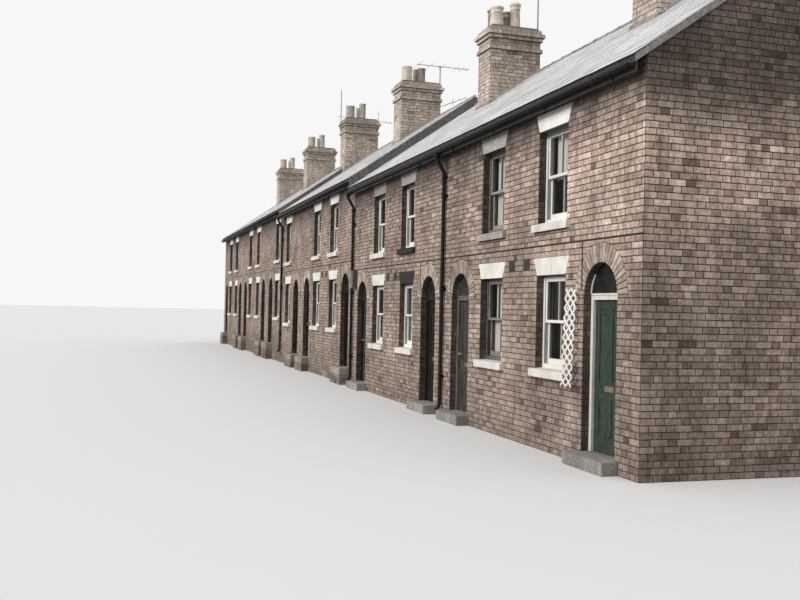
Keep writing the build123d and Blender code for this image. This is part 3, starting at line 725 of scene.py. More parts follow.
def wall_blocks(side):
    """Openings, lintels, sills, arches, steps and air bricks of the street (side -1) or the rear wall."""
    blocks = []
    for house in HOUSES:
        rise, x, d = rise_at(house), window_x(house), door_x(house)
        for head in HEADS:
            z = rise + head * COURSE
            blocks += [square(x - WINDOW_WIDE / 2, x + WINDOW_WIDE / 2, z - WINDOW_HIGH, z)]
            blocks += [splayed(x, z, WINDOW_WIDE)]
            blocks += [square(x - SILL_HALF, x + SILL_HALF, z - SILL_FOOT, z - WINDOW_HIGH)]
        if side < 0:
            blocks += [square(d - ARCH_R, d + ARCH_R, 0, rise + SPRING), arched(d, rise + SPRING)]
            blocks += [square(d - STEP_HALF, d + STEP_HALF, 0, rise + 2 * COURSE)]
        else:
            blocks += [square(d - ARCH_R, d + ARCH_R, 0, rise + GROUND * COURSE)]
            blocks += [splayed(d, rise + GROUND * COURSE, DOOR_WIDE)]
    for k in STACK_LINES if side < 0 else ():
        for house, hand in ((k, 1), (k + 1, -1)):
            x, z = air_brick(house, k, hand)
            blocks.append(square(x - 0.1075, x + 0.1075, z, z + 2 * COURSE))
    return blocks


def merged(blocks, low, high):
    """Blocks at a course, the narrower of two that overlap left out."""
    here = [b for b in blocks if min(high, b.high) - max(low, b.low) >= 0.002]
    kept = []
    for b in sorted(here, key=lambda b: b.ends(max(low, b.low))[0] - b.ends(max(low, b.low))[1]):
        lo, hi = b.ends(max(low, b.low))
        beside = [k for k in kept if min(high, k.high, b.high) - max(low, k.low, b.low) > 0.002]
        if not any(k.ends(max(low, k.low))[0] <= lo and hi <= k.ends(max(low, k.low))[1] for k in beside):
            kept.append(b)
    return kept


for section, first, last, rise in SECTIONS:
    far, near = run_of(first, last)
    for side, name in ((-1, "front_"), (1, "rear_")):
        shape, blocks = Shape(), wall_blocks(side)
        put = lambda u, v, d: (u, side * (WALL_Y + d), v)
        for row in range(60 + round(rise / COURSE)):
            low, high = row * COURSE, (row + 1) * COURSE
            here = merged(blocks, low, high)
            mine = [b for b in here if far < b.ends(max(low, b.low))[0] < near]
            lay_course(shape, put, row, far, near, mine)
        shape.make(name + section + "_bricks", FRONT_BRICK, "brick")


def gable_half(v, rise):
    return min(WALL_Y, EAVE_Y - (v + SLAB - rise - EAVE_Z) / SLOPE)


gables = Shape()
for side, rise in ((1, 0.0), (-1, SECTIONS[2][3])):
    put = lambda u, v, d: (side * (HALF_ROW + BRICK_WALL / 2 + d), u, v)
    row = 0
    while gable_half((row + 1) * COURSE, rise) >= 0.06:
        foot, top = gable_half(row * COURSE, rise), gable_half((row + 1) * COURSE, rise)
        lay_course(gables, put, row, (-foot, -top), (foot, top))
        row += 1
gables.make("gable_bricks", FRONT_BRICK, "brick")

# Brick sides to the doorsteps that stand over the lowest ground
plinths = Shape()
for house in range(5, 13):
    x0, x1 = door_x(house) - STEP_HALF, door_x(house) + STEP_HALF
    for row in range(round(rise_at(house) / COURSE)):
        put = lambda u, v, d: (u, STEP_FRONT - d, v)
        lay_course(plinths, put, row, x0, x1)
        for face, hand in ((x0, -1), (x1, 1)):
            put = lambda u, v, d: (face + hand * d, u, v)
            lay_course(plinths, put, row, STEP_FRONT, -3.165, bond=1)
plinths.make("step_bricks", FRONT_BRICK, "brick")

# Bricks that turn into the window and door openings, toned dark as painted shade
reveals = Shape()
REVEAL, REVEAL_JOINT, NARROW = 0.106, 0.008, 0.05
for house in HOUSES:
    rise = rise_at(house)
    jambs = []
    for head in HEADS:
        for side in (-1, 1):
            foot, top = rise + (head - 16) * COURSE, rise + head * COURSE
            jambs.append((window_x(house), WINDOW_WIDE / 2, foot, top, side))
    jambs.append((door_x(house), ARCH_R, rise + 2 * COURSE, rise + SPRING, -1))
    for x, half, foot, top, side in jambs:
        for hand in (-1, 1):
            put = lambda u, v, d: (x + hand * (half - d), side * (WALL_Y - u), v)
            row, z = 0, foot
            while z < top - 0.02:
                high = min(z + COURSE, top)
                split = REVEAL if row % 2 else NARROW
                for u0, u1 in ((0.001, split), (split + REVEAL_JOINT, REVEAL)):
                    if u1 - u0 > 0.02:
                        v0, v1 = z + REVEAL_JOINT / 2, high - REVEAL_JOINT / 2
                        corners = [(u0, v0), (u1, v0), (u1, v1), (u0, v1)]
                        lay_brick(reveals, put, corners, random_tone(0.4, 0.15), 0.003)
                z, row = high, row + 1
reveals.make("reveal_bricks", SHADED_REVEAL_BRICK, "brick")

# Arches: a mortar core with wedges of pale brick as deep as the ring, and a bead round each panel
core, wedges, beads = Shape(), Shape(), Shape()
CORE_FLATS, WEDGES, WEDGE_GAP = 24, 23, 0.009
CORE_TURNS = [math.pi * i / CORE_FLATS for i in range(CORE_FLATS + 1)]
for house in HOUSES:
    x, z = door_x(house), rise_at(house) + SPRING
    radii = (ARCH_R + RING - 0.002, ARCH_R + 0.004, 0.413, 0.388)
    outer, inner, rim, lip = [[(x + u, z + w) for u, w in arc(r, CORE_TURNS)] for r in radii]
    for i in range(CORE_FLATS):
        face = [(u, -WALL_Y + 0.003, w) for u, w in (outer[i], outer[i + 1], inner[i + 1], inner[i])]
        core.prism(face, (0, BRICK_WALL - 0.006, 0))
        face = [(u, FRAME_Y - 0.012, w) for u, w in (lip[i], rim[i], rim[i + 1], lip[i + 1])]
        beads.prism(face, (0, 0.03, 0))
    for i in range(WEDGES):
        t0, t1 = math.pi * (i + 0.03) / WEDGES, math.pi * (i + 0.97) / WEDGES
        r0, r1 = ARCH_R - 0.002, ARCH_R + RING
        tone = random_tone(0.5, 0.2)
        face = []
        for r, t, hand in ((r0, t0, 1), (r1, t0, 1), (r1, t1, -1), (r0, t1, -1)):
            gap = hand * WEDGE_GAP
            u, w = r * math.cos(t) - gap * math.sin(t) / 2, r * math.sin(t) + gap * math.cos(t) / 2
            face.append((x + u, -WALL_Y - 0.004, z + w))
        wedges.prism(face, (0, BRICK_WALL - 0.002, 0), tone)
    beads.box(x - 0.412, x + 0.412, FRAME_Y - 0.012, FRAME_Y + 0.01, z - 0.004, z + 0.022)
core.make("arch_core", STREET_MORTAR, "arch_brick", ("door_arches",))
wedges.make("arch_wedges", ARCH_BRICK, "arch_brick")
beads.make("arch_beads", FRAME_PAINT, "frame_paint")

# Chimneys: brick faces up the shaft and round each course of the cap, and flaunching on top
stacks, flaunch = Shape(), Shape()
CAP = (0.04, 0.0, 0.0, 0.04, 0.08, 0.02)
BRICKS_FROM, FRONT_PALER = 6.3, 0.08
for k in STACK_LINES:
    x, base = line_x(k), min(rise_at(k), rise_at(min(k + 1, 12)))
    rows = round(stack_top(k) / COURSE)
    for row in range(round((base + BRICKS_FROM) / COURSE), rows):
        over = row - (rows - len(CAP))
        out = CAP[over] if over >= 0 else 0.0
        for hand in (-1, 1):
            put = lambda u, v, d: (x + hand * (STACK_HALF + out + d), u, v)
            lay_course(stacks, put, row, STACK_FRONT - out, STACK_BACK + out, bond=3)
            put = lambda u, v, d: (u, (STACK_FRONT - out - d) if hand < 0 else (STACK_BACK + out + d), v)
            lay_course(stacks, put, row, x - STACK_HALF - out, x + STACK_HALF + out, pale=FRONT_PALER)
for k in STACK_LINES:
    x, top, y = line_x(k), stack_top(k), (STACK_BACK + STACK_FRONT) / 2
    points = []
    for inset, lift in ((-0.015, 0.0), (-0.012, 0.012), (0.06, 0.05), (0.12, 0.074)):
        hx, hy = STACK_HALF - inset, (STACK_BACK - STACK_FRONT) / 2 - inset
        points += [(x + i * hx, y + j * hy, top + lift) for i, j in ((-1, -1), (1, -1), (1, 1), (-1, 1))]
    flaunch.add(points, [[3, 2, 1, 0], [12, 13, 14, 15]] + belt(4) + belt(4, 4) + belt(4, 8))
stacks.make("chimney_bricks", CHIMNEY_BRICK, "chimney_brick")
flaunch.make("flaunching", FLAUNCHING, "chimney_brick")

# Pots: tapered, banded, and the tall ones ringed with points, on the two nearest stacks; straight beyond
pale, dark, worn = Shape(), Shape(), Shape()
KINDS = {"wide": (0.155, 0.43), "tall": (0.118, 0.54), "plain": (0.102, 0.45)}
PLACES = (("wide", 0.14, 0.215), ("tall", 0.165, 0.65), ("plain", -0.165, 0.6), ("plain", -0.165, 0.23))
for number, (k, count) in enumerate(zip(STACK_LINES, (3, 4, 3, 3, 3, 3)), 1):
    for kind, across, along in PLACES[:count]:
        radius, height = KINDS[kind]
        straight = number > 2
        if kind == "tall" and number == 3:
            height = 0.41
        x, y, z = line_x(k) + across, STACK_FRONT + along, stack_top(k) + 0.06
        neck, lip, band = (radius * 0.97, 0.008, 0.0) if straight else (radius * 0.86, 0.024, 0.014)
        profile = [(radius * 1.04, 0), (radius * 1.04, 0.03), (radius, 0.045), (neck, height - 0.14)]
        profile += [(neck + band, height - 0.13), (neck + band, height - 0.1), (neck, height - 0.09)]
        profile += [(neck, height - 0.055), (neck + lip, height - 0.04), (neck + lip, height)]
        profile += [(neck - 0.02, height + 0.004), (neck - 0.026, height - 0.02), (radius - 0.03, 0.0)]
        is_dark = kind == "plain" or (kind == "tall" and number == 3)
        shape = worn if number > 3 else dark if is_dark else pale
        shape.lathe(profile, (x, y, z), 28, rng.random())
        for tooth in range(0 if straight or kind != "tall" else 8):
            turn = 2 * math.pi * tooth / 8
            side = Vector((-math.sin(turn), math.cos(turn), 0)) * 0.025
            out = Vector((math.cos(turn), math.sin(turn), 0)) * 0.012
            base = Vector((x + neck * math.cos(turn), y + neck * math.sin(turn), z + height - 0.004))
            corners = [base - side - out, base + side - out, base + side + out, base - side + out]
            faces = [[3, 2, 1, 0], [0, 1, 4], [1, 2, 4], [2, 3, 4], [3, 0, 4]]
            shape.add(corners + [base + Vector((0, 0, 0.05))], faces)
pale.make("pale_pots", TERRACOTTA, "terracotta", ("chimney_pots",))
dark.make("dark_pots", DARK_POT, "terracotta")
worn.make("worn_pots", WORN_POT, "terracotta")

# Slates, in overlapping rows; heights in the courses are lengths up the slope
GAUGE, SLATE_WIDTH, SLATE_LENGTH, SLATE_THICK = 0.265, 0.3, 0.56, 0.007
FIRST_SLATE, SLATE_LIFT, NARROWEST = -0.018, 0.0205, 0.06
FAR_VERGE, NEAR_VERGE, STEP_VERGE = 0.04, 0.038, 0.052
SLOPE_TOP = EAVE_Y / COS - 0.03


def lay_slates(name, side, first, last, rise):
    shape = Shape()
    far, near = run_of(first, last)
    far -= FAR_VERGE if last == 12 else 0
    near += NEAR_VERGE if first == 0 else STEP_VERGE
    deep = -STACK_FRONT if side < 0 else STACK_BACK
    gap, foot = STACK_HALF + 0.005, (EAVE_Y - deep) / COS - 0.012
    blocks = [square(line_x(k) - gap, line_x(k) + gap, foot, 9) for k in STACK_LINES if first <= k <= last]
    row = 0
    while -0.02 + row * GAUGE < EAVE_Y / COS - 0.1:
        low = FIRST_SLATE + row * GAUGE
        high = min(low + GAUGE, SLOPE_TOP)
        spans, tops, _ = spans_of(low, high, (far, far), (near, near), blocks)
        for left, right in spans:
            shift = (row % 2) * SLATE_WIDTH / 2 + 0.01 * math.sin(row * 2.3)
            joints = [shift + n * SLATE_WIDTH for n in range(-70, 70)]
            joints = [j for j in joints if left[0] + NARROWEST < j < right[0] - NARROWEST]
            edges = [left[0]] + joints + [right[0]]
            for a, b in zip(edges, edges[1:]):
                limit = min([top[2] for top in tops if top[0] < (a + b) / 2 < top[1]] + [SLOPE_TOP])
                s0 = low + rng.uniform(-0.003, 0.003)
                s0 -= rng.uniform(0.01, 0.03) if rng.random() < 0.02 and row else 0
                s1 = min(s0 + SLATE_LENGTH, limit)
                skew = rng.uniform(-0.002, 0.002)
                lift = SLATE_LIFT + rng.uniform(0, 0.003)
                fall = (lift - SLATE_THICK) / SLATE_LENGTH
                a, b = a + 0.0015, b - 0.0015
                points = []
                for s, u in ((s0 - skew, a), (s0 + skew, b), (s1, b), (s1, a)):
                    for d in (lift - fall * (s - s0) - SLATE_THICK, lift - fall * (s - s0)):
                        y = EAVE_Y - s * COS + d * SIN
                        points.append((u, side * y, rise + EAVE_Z + s * SIN + d * COS))
                faces = [[0, 2, 4, 6], [1, 3, 5, 7], [0, 2, 3, 1], [2, 4, 5, 3], [4, 6, 7, 5], [6, 0, 1, 7]]
                shape.add(points, faces, random_tone(0.5, 0.18))
        row += 1
    shape.make(name, SLATE, "slate")


for section, first, last, rise in SECTIONS:
    lay_slates("slates_front_" + section, -1, first, last, rise)
    lay_slates("slates_rear_" + section, 1, first, last, rise)

# Ridge tiles with a roll, bedded end to end
ridge = Shape()
ridge_joints = []
LEG, ROLL, TILE = 0.139, 0.026, 0.45
for section, first, last, rise in SECTIONS:
    far, near = run_of(first, last)
    stops = sorted(line_x(k) + hand * 0.355 for k in STACK_LINES if first <= k <= last for hand in (-1, 1))
    stops = [min(max(s, far), near) for s in [far] + stops + [near]]
    z = roof_top(0, rise)
    foot = z - LEG * SLOPE + 0.012
    for a, b in zip(stops[0::2], stops[1::2]):
        if b - a < 0.1:
            continue
        count = max(round((b - a) / TILE), 1)
        size = (b - a) / count
        ridge_joints += [a + i * size for i in range(1, count)]
        for i in range(count):
            x0, x1 = a + i * size + 0.003, a + (i + 1) * size - 0.003
            lift = rng.uniform(0.0, 0.003)
            turns = [math.radians(t) for t in range(200, -21, -20)]
            outline = [(-LEG, foot), (-0.016, z + 0.022)]
            outline += [(ROLL * math.cos(t), z + 0.034 + 0.022 * math.sin(t)) for t in turns]
            outline += [(0.016, z + 0.022), (LEG, foot), (LEG, foot - 0.006)]
            outline += [(0, z - 0.01), (-LEG, foot - 0.006)]
            ridge.bar([(y, w + lift) for y, w in outline], x0, x1 - x0, tone=rng.random())
ridge.make("ridge_rolls", RIDGE_CLAY, "ridge_clay", ("ridge_tiles",))

# Mortar: lumps at the joints of the ridge, fillets round the chimneys, and render on the roof steps
mortar, step_render = Shape(), Shape()
for x in ridge_joints:
    rise = rise_at(min(max(math.ceil((HALF_ROW - x) / HOUSE), 1), 12))
    z, half = roof_top(0, rise), rng.uniform(0.02, 0.05)
    for side in (-1, 1):
        foot, run = rng.uniform(0.143, 0.158), rng.uniform(0.06, 0.2)
        outline = [(0.12, 0.01), (foot, 0.016), (foot - 0.004, 0.03), (0.133, 0.035), (0.12, 0.03)]
        outline = [(y, z - y * SLOPE + lift) for y, lift in outline]
        mortar.bar(outline, x - run, 2 * run, side, rng.random())
    lump = arc(0.028 * rng.uniform(0.9, 1.35), [math.pi * i / 8 for i in range(9)])
    mortar.bar([(y, z + 0.03 + w) for y, w in lump], x - half, 2 * half, tone=rng.random())
for k in STACK_LINES:
    x = line_x(k)
    for hand in (-1, 1):
        rise = rise_at(k) if hand > 0 else rise_at(min(k + 1, 12))
        face, edge = x + hand * 0.354, x + hand * 0.4
        slopes = ((STACK_FRONT - 0.04, 0.04 - STACK_FRONT, SLOPE), (0.0, STACK_BACK + 0.04, -SLOPE))
        for y, length, slope in slopes:
            z = roof_top(y, rise)
            fillet = [(face, y, z + 0.02), (edge, y, z + 0.03), (face, y, z + 0.085)]
            mortar.prism(fillet, (0, length, length * slope))
        for y, foot in ((STACK_FRONT, STACK_FRONT - 0.05), (STACK_BACK, STACK_BACK + 0.05)):
            low, high = roof_top(foot, rise) + 0.028, roof_top(y, rise)
            mortar.bar([(y, high + 0.01), (foot, low), (y, high + 0.09)], x, hand * 0.4)
for k, below, above in ((4, 0.0, 3 * COURSE), (7, 3 * COURSE, 5 * COURSE)):
    for side in (-1, 1):
        corners = [(3.33, below, 0.02), (0.0, below, 0.02), (0.0, above, 0.002), (3.33, above, 0.002)]
        face = [(y, roof_top(y, rise) + lift) for y, rise, lift in corners]
        step_render.bar(face, line_x(k) + 0.001, 0.045, side)
mortar.make("roof_mortar", OLD_MORTAR)
step_render.make("roof_step_render", STEP_RENDER)

# Rainwater goods
iron = Shape()
GUTTER_Y, GUTTER_R, PIPE_Y, PIPE_R = 3.368, 0.058, 3.22, 0.036
COLLARS_EVERY, PIPE_CLIPS = 1.8, (0.7, 2.3, 4.0)
turns = [math.pi * i / 12 for i in range(13)]
trough = arc(GUTTER_R, [-t for t in turns]) + arc(GUTTER_R - 0.005, [-t for t in turns[::-1]])
trough = [(0.94 * y, 0.94 * w) for y, w in trough]
collar = [(1.06 * y, 1.06 * w) for y, w in trough[:13]] + [(0.98 * y, 0.98 * w) for y, w in trough[12::-1]]


def gutter_z(rise):
    return rise + EAVE_Z - SLAB - 0.01


def sleeve(inner, outer):
    return [(inner, 0.0), (outer, 0.0), (outer, 0.07), (inner, 0.07)]


for section, first, last, rise in SECTIONS:
    far, near = run_of(first, last)
    z = gutter_z(rise)
    for side in (-1, 1):
        iron.bar([(GUTTER_Y + y, z + w) for y, w in trough], far, near - far, side, 0.5, True)
        x = near - 0.9
        while x > far:
            iron.bar([(GUTTER_Y + y, z + w) for y, w in collar], x, 0.05, side, 0.5, True)
            iron.box(x + 0.4, x + 0.42, side * 3.31, side * 3.315, z - 0.1, z)
            hook = ((3.313, -0.09), (3.34, -0.075), (GUTTER_Y, -0.063))
            iron.tube([(x + 0.41, side * y, z + w) for y, w in hook], 0.007, 6)
            x -= COLLARS_EVERY
        for end in (far, near - 0.006):
            iron.bar([(GUTTER_Y + y, z + w) for y, w in trough[:13]], end, 0.006, side)
PIPE_RING = [(0.03, 0.0), (0.047, 0.0), (0.047, 0.012), (0.043, 0.02)]
PIPE_RING += [(r, 0.08 - h) for r, h in PIPE_RING[::-1]]
for k in (2, 4, 7):
    for side in (-1, 1):
        rise, x = rise_at(k), line_x(k) + 0.06
        z = gutter_z(rise) - GUTTER_R + 0.012
        path = [(GUTTER_Y - y, z - w) for y, w in ((0, 0), (0, 0.08), (0.006, 0.11), (0.02, 0.135))]
        path += [(PIPE_Y + y, z - w) for y, w in ((0.02, 0.315), (0.005, 0.34), (0, 0.37))]
        path += [(PIPE_Y + y, rise + w) for y, w in ((0, 0.24), (0.006, 0.21), (0.02, 0.18), (0.07, 0.115))]
        iron.tube([(x, side * y, w) for y, w in path], PIPE_R, 18)
        iron.lathe(sleeve(0.037, 0.05), (x, side * GUTTER_Y, z - 0.075), 18)
        for height in PIPE_CLIPS:
            iron.lathe(PIPE_RING, (x, side * PIPE_Y, rise + height), 18)
            z0, z1 = rise + height + 0.02, rise + height + 0.06
            iron.box(x - 0.075, x + 0.075, side * 3.158, side * 3.2, z0, z1)
        iron.lathe(sleeve(0.03, 0.046), (x, side * PIPE_Y, z - 0.45), 18)
iron.make("rainwater_iron", IRON, "iron", ("gutters", "downpipes"))

# Air bricks with square holes
grilles = Shape()
for k in STACK_LINES:
    for house, hand in ((k, 1), (k + 1, -1)):
        x, z = air_brick(house, k, hand)
        foot, top = z + 0.004, z + 0.161
        grilles.box(x - 0.105, x + 0.105, -3.135, -3.112, foot, top)
        for i in range(7):
            u = x - 0.1045 + i * 0.0332
            grilles.box(u, u + 0.0097, -3.163, -3.13, foot, top)
        for i in range(5):
            v = foot + i * 0.0367
            grilles.box(x - 0.1045, x + 0.1045, -3.162, -3.131, v, v + 0.0102)
grilles.make("air_grilles", AIR_BRICK, "air_brick", ("air_bricks",))

# Aerials: rods across the booms, brackets at the masts, and two more aerials seen behind the row of stacks
rods = Shape()
for number, side, height, places in (
    (2, 1, 1.25, (-0.42, -0.21, 0.0, 0.21, 0.42)),
    (3, 1, 0.65, (-0.68, -0.3, 0.05, 0.5, 0.68, 0.86)),
    (4, -1, 1.08, ()),
):
    k = STACK_LINES[number - 1]
    x, top = line_x(k), stack_top(k) + height
    y = (STACK_BACK if side > 0 else STACK_FRONT) + side * 0.093
    for i, place in enumerate(places):
        reach = 0.42 - 0.045 * i
        rods.tube([(x + hand * reach, y + place, top - 0.012) for hand in (-1, 1)], 0.005, 8)
    if places:
        rods.box(x - 0.03, x + 0.03, y - 0.03, y + 0.03, top - 0.035, top - 0.001)
    for lift in (0.03, 0.3):
        foot = stack_top(k) - 0.4 + lift
        rods.box(x - 0.03, x + 0.03, y - 0.02, y + 0.02, foot, foot + 0.03)
for k, y0, z0, y1, z1 in (
    (5, 0.1, 7.9, 1.05, 8.3), (5, 0.6, 8.05, 0.62, 8.24), (7, 0.2, 8.4, 0.2, 9.12),
    (7, 0.2, 8.74, 0.72, 8.7), (7, -1.3, 8.78, -1.0, 8.79),
):
    rods.tube([(line_x(k), y0, z0), (line_x(k), y1, z1)], 0.008, 8)
for k, y, z, reach in (
    (5, 0.95, 8.258, 0.2), (5, 0.75, 8.174, 0.24), (5, 0.45, 8.047, 0.3), (7, 0.62, 8.708, 0.18),
    (7, 0.45, 8.72, 0.22),
):
    rods.tube([(line_x(k) - reach, y, z), (line_x(k) + reach, y, z)], 0.005, 8)
rods.box(line_x(7) - 0.02, line_x(7) + 0.02, 0.1, 0.22, 8.42, 8.46)
rods.make("aerial_rods", AERIAL, "aerial_metal")

# A white lattice of laths that leans on the wall beside the nearest ground-floor window
lattice = Shape()
LEFT, RIGHT, FOOT, HEAD, CLIMB, STEPS = 17.895, 18.205, 0.98, 2.27, 0.26, 40


def out_at(v):
    return 0.036 + 0.043 * (HEAD - v)


for hand, y in ((-1, -3.186), (1, -3.178)):
    start = FOOT - CLIMB
    while start < HEAD:
        points = []
        for i in range(STEPS + 1):
            v = start + CLIMB * (i / STEPS if hand > 0 else 1 - i / STEPS)
            if FOOT <= v <= HEAD:
                points.append((LEFT + (RIGHT - LEFT) * i / STEPS, v))
        if len(points) > 4:
            (u0, v0), (u1, v1) = points[0], points[-1]
            along = 0.007 * hand
            face = [(u0 - along, v0 + 0.012), (u0 + along, v0 - 0.012)]
            face += [(u1 + along, v1 - 0.012), (u1 - along, v1 + 0.012)]
            lattice.prism([(u, y - out_at(v), v) for u, v in face], (0, 0.007, 0))
        start += CLIMB / 2
for u, v in ((17.95, 1.3), (18.12, 1.3), (17.95, 2.0), (18.12, 2.0)):
    lattice.box(u, u + 0.03, -3.174 - out_at(v), -3.158, v, v + 0.03)
lattice.make("wall_lattice", WINDOW_PAINT)

# Clips on the wall cables
clips = Shape()
CLIPS_EVERY = 0.65
for section, first, last, rise in SECTIONS:
    far, near = run_of(first, last)
    x, z = near - 0.35, rise + 33 * COURSE + 0.17
    while x > far:
        clips.box(x, x + 0.012, -3.176, -3.157, z - 0.004, z + 0.018)
        x -= CLIPS_EVERY
clips.make("cable_clips", IRON, "iron")

# Curtains behind the glass: thin cloth gathered in even folds
CURTAIN_Y, CLOTH, FOLD_DEEP = -2.918, 0.0012, 0.009 * math.sqrt(0.5) / 0.7
FOLD_WIDE, FOLD_STEPS, LEVELS = 0.055, 10, 12
ROD_HALF, HANG_HALF = 0.64, 0.62


def curtain(name, x0, x1, top, drop):
    """Makes a curtain between x0 and x1 that falls from top by drop."""
    across = x1 - x0
    folds = max(round(across / FOLD_WIDE), 2)
    steps = folds * FOLD_STEPS
    line = []
    for t in [i / steps for i in range(steps + 1)]:
        line.append((x0 + across * t, CURTAIN_Y + FOLD_DEEP * math.sin(2 * math.pi * folds * t)))
    points, faces = [], []
    for skin in (0.0, CLOTH):
        for level in range(LEVELS + 1):
            points += [(u, v + skin, top - drop * level / LEVELS) for u, v in line]
    row, layer = steps + 1, (steps + 1) * (LEVELS + 1)
    for a in range(0, LEVELS * row, row):
        for b in range(a, a + steps):
            faces.append([b, b + 1, b + row + 1, b + row])
            faces.append([layer + b, layer + b + row, layer + b + row + 1, layer + b + 1])
        b = a + steps
        faces += [[a, a + row, layer + a + row, layer + a], [b, layer + b, layer + b + row, b + row]]
    for a in range(steps):
        b = LEVELS * row + a
        faces += [[a, layer + a, layer + a + 1, a + 1], [b, b + 1, layer + b + 1, layer + b]]
    shape = Shape()
    shape.add(points, faces, 0.5, True)
    made = shape.make(name, NET)


poles = Shape()
FULL, HALF, ABOVE = 1.36, 0.72, -0.03
# For each curtain: its edges from the middle of the window, how far its rod is under the head, its drop
HANGINGS = {
    (1, UPPER): ((-0.33, 0.58, ABOVE, HALF),),
    (2, UPPER): ((-0.37, 0.58, ABOVE, FULL),),
    (3, UPPER): ((-0.6, -0.44, ABOVE, FULL), (-0.2, 0.58, ABOVE, FULL)),
    (1, GROUND): ((-0.62, -0.4, ABOVE, FULL), (0.03, 0.6, ABOVE, FULL)),
    (2, GROUND): ((-0.62, -0.44, ABOVE, FULL), (-0.31, 0.58, ABOVE, HALF), (-0.43, 0.56, 0.68, 0.66)),
    (3, GROUND): ((-0.6, 0.1, ABOVE, FULL),),
}
hung = []
for house in HOUSES:
    for storey, courses in zip("gu", HEADS):
        x, head = window(house, courses)
        left, right = rng.uniform(0.12, 0.3) - HANG_HALF, HANG_HALF - rng.uniform(0.15, 0.35)
        usual = ((-HANG_HALF, left, ABOVE, FULL), (right, HANG_HALF, ABOVE, FULL))
        rows = HANGINGS.get((house, courses), usual)
        for low in sorted({row[2] for row in rows}):
            poles.tube([(x + hand * ROD_HALF, CURTAIN_Y, head - low + 0.004) for hand in (-1, 1)], 0.006, 8)
            for u in (x - HANG_HALF, x + HANG_HALF):
                poles.box(u - 0.006, u + 0.006, -2.935, CURTAIN_Y, head - low, head - low + 0.008)
        for i, (left, right, low, drop) in enumerate(rows, 1):
            hung.append((f"curtain_{storey}{house}_{i}", x + left, x + right, head - low - 0.002, drop))
poles.make("curtain_rods", BRASS)
for row in hung:
    curtain(*row)

# Door furniture: a turned knob, a letter plate, and mouldings on the leaves that open
KNOB = ((0.0, 0.0), (0.034, 0.0), (0.034, 0.005), (0.0215, 0.009), (0.0215, 0.02), (0.0295, 0.028))
KNOB += ((0.031, 0.038), (0.0285, 0.046), (0.016, 0.051), (0.0, 0.052))
TRIM, KNOB_OUT, KNOB_HIGH = 0.014, 0.303, 1.0
for house in HOUSES:
    hand, x, foot = (-1 if house % 2 else 1), door_x(house), rise_at(house) + 0.17
    opens = house <= 5
    face = -3.004 if opens else -3.009
    brass = Shape()
    brass.lathe([(r, -h) for r, h in KNOB], (x - hand * KNOB_OUT, face, foot + KNOB_HIGH), 20, upright=False)
    brass.box(x - 0.11, x + 0.11, face - 0.005, face + 0.002, foot + 0.79, foot + 0.86)
    brass.box(x - 0.085, x + 0.085, face - 0.008, face - 0.004, foot + 0.805, foot + 0.845)
    body = f"door_{house}" if opens else "root"
    brass.make(f"door_brass_{house}", BRASS, body=body)
    if not opens:
        continue
    trim = Shape()
    for u0, u1 in ((-0.265, -0.05), (0.05, 0.265)):
        for v0, v1 in ((0.2, 0.7), (0.9, 1.785)):
            for y0, y1, grow in ((face - 0.003, face + 0.009, 0.0), (-2.961, -2.954, 0.008)):
                a, b, c, d = x + u0 - grow, x + u1 + grow, foot + v0 - grow, foot + v1 + grow
                trim.box(a, b, y0, y1, c, c + TRIM)
                trim.box(a, b, y0, y1, d - TRIM, d)
                trim.box(a, a + TRIM, y0, y1, c + TRIM, d - TRIM)
                trim.box(b - TRIM, b, y0, y1, c + TRIM, d - TRIM)
    trim.make(f"door_trim_{house}", DOOR_PAINT, "door_paint", body=body)

# Windows: an upright glazing bar in each sash, as deep as the sash
bars = Shape()
for house in HOUSES:
    for x, head in (window(house, courses) for courses in HEADS):
        foot = head - WINDOW_HIGH
        for y0, y1, low, high in ((-3.031, -2.999, 0.69, 1.235), (-2.985, -2.953, 0.136, 0.648)):
            outline = [(-0.011, y1), (-0.011, y0 + 0.008), (-0.004, y0)]
            outline += [(-u, y) for u, y in outline[::-1]]
            bars.prism([(x + u, y, foot + low) for u, y in outline], (0, 0, high - low))
bars.make("glazing_bars", SASHES, "window_paint")

# The rear: heads and sills to the windows and doors, meeting rails, and boards on the back doors
rear_stone, rails, boards = Shape(), Shape(), Shape()
for house in HOUSES:
    rise, x, d = rise_at(house), window_x(house), door_x(house)
    for head, at, width in ((GROUND, x, WINDOW_WIDE), (UPPER, x, WINDOW_WIDE), (GROUND, d, DOOR_WIDE)):
        z, half = rise + head * COURSE, width / 2
        top = z + 3 * COURSE
        face = [(at - half, z), (at + half, z), (at + half + 0.1, top), (at - half - 0.1, top)]
        rear_stone.prism([(u, 3.166, v) for u, v in face], (0, -0.115, 0))
        if at == x:
            outline = [(3.05, z - WINDOW_HIGH), (3.05, z - 1.44), (3.225, z - 1.44), (3.225, z - 1.334)]
            rear_stone.bar(outline, x - SILL_HALF, 2 * SILL_HALF)
            rails.box(x - 0.34, x + 0.34, 2.955, 3.04, z - 0.681, z - 0.639)
            rails.box(x - 0.011, x + 0.011, 2.965, 3.033, z - 1.24, z - 0.08)
    for i in range(6):
        u = d - 0.413 + i * 0.1378
        boards.box(u, u + 0.1338, 3.012, 3.026, rise + 0.168, rise + GROUND * COURSE - 0.004)
    boards.box(d + 0.33, d + 0.35, 3.02, 3.05, rise + 1.15, rise + 1.28)
rear_stone.make("rear_heads_and_sills", LINTEL, "lintel_paint")
rails.make("rear_meeting_rails", WINDOW_PAINT, "window_paint")
boards.make("rear_door_boards", DOOR_PAINT, "door_paint")

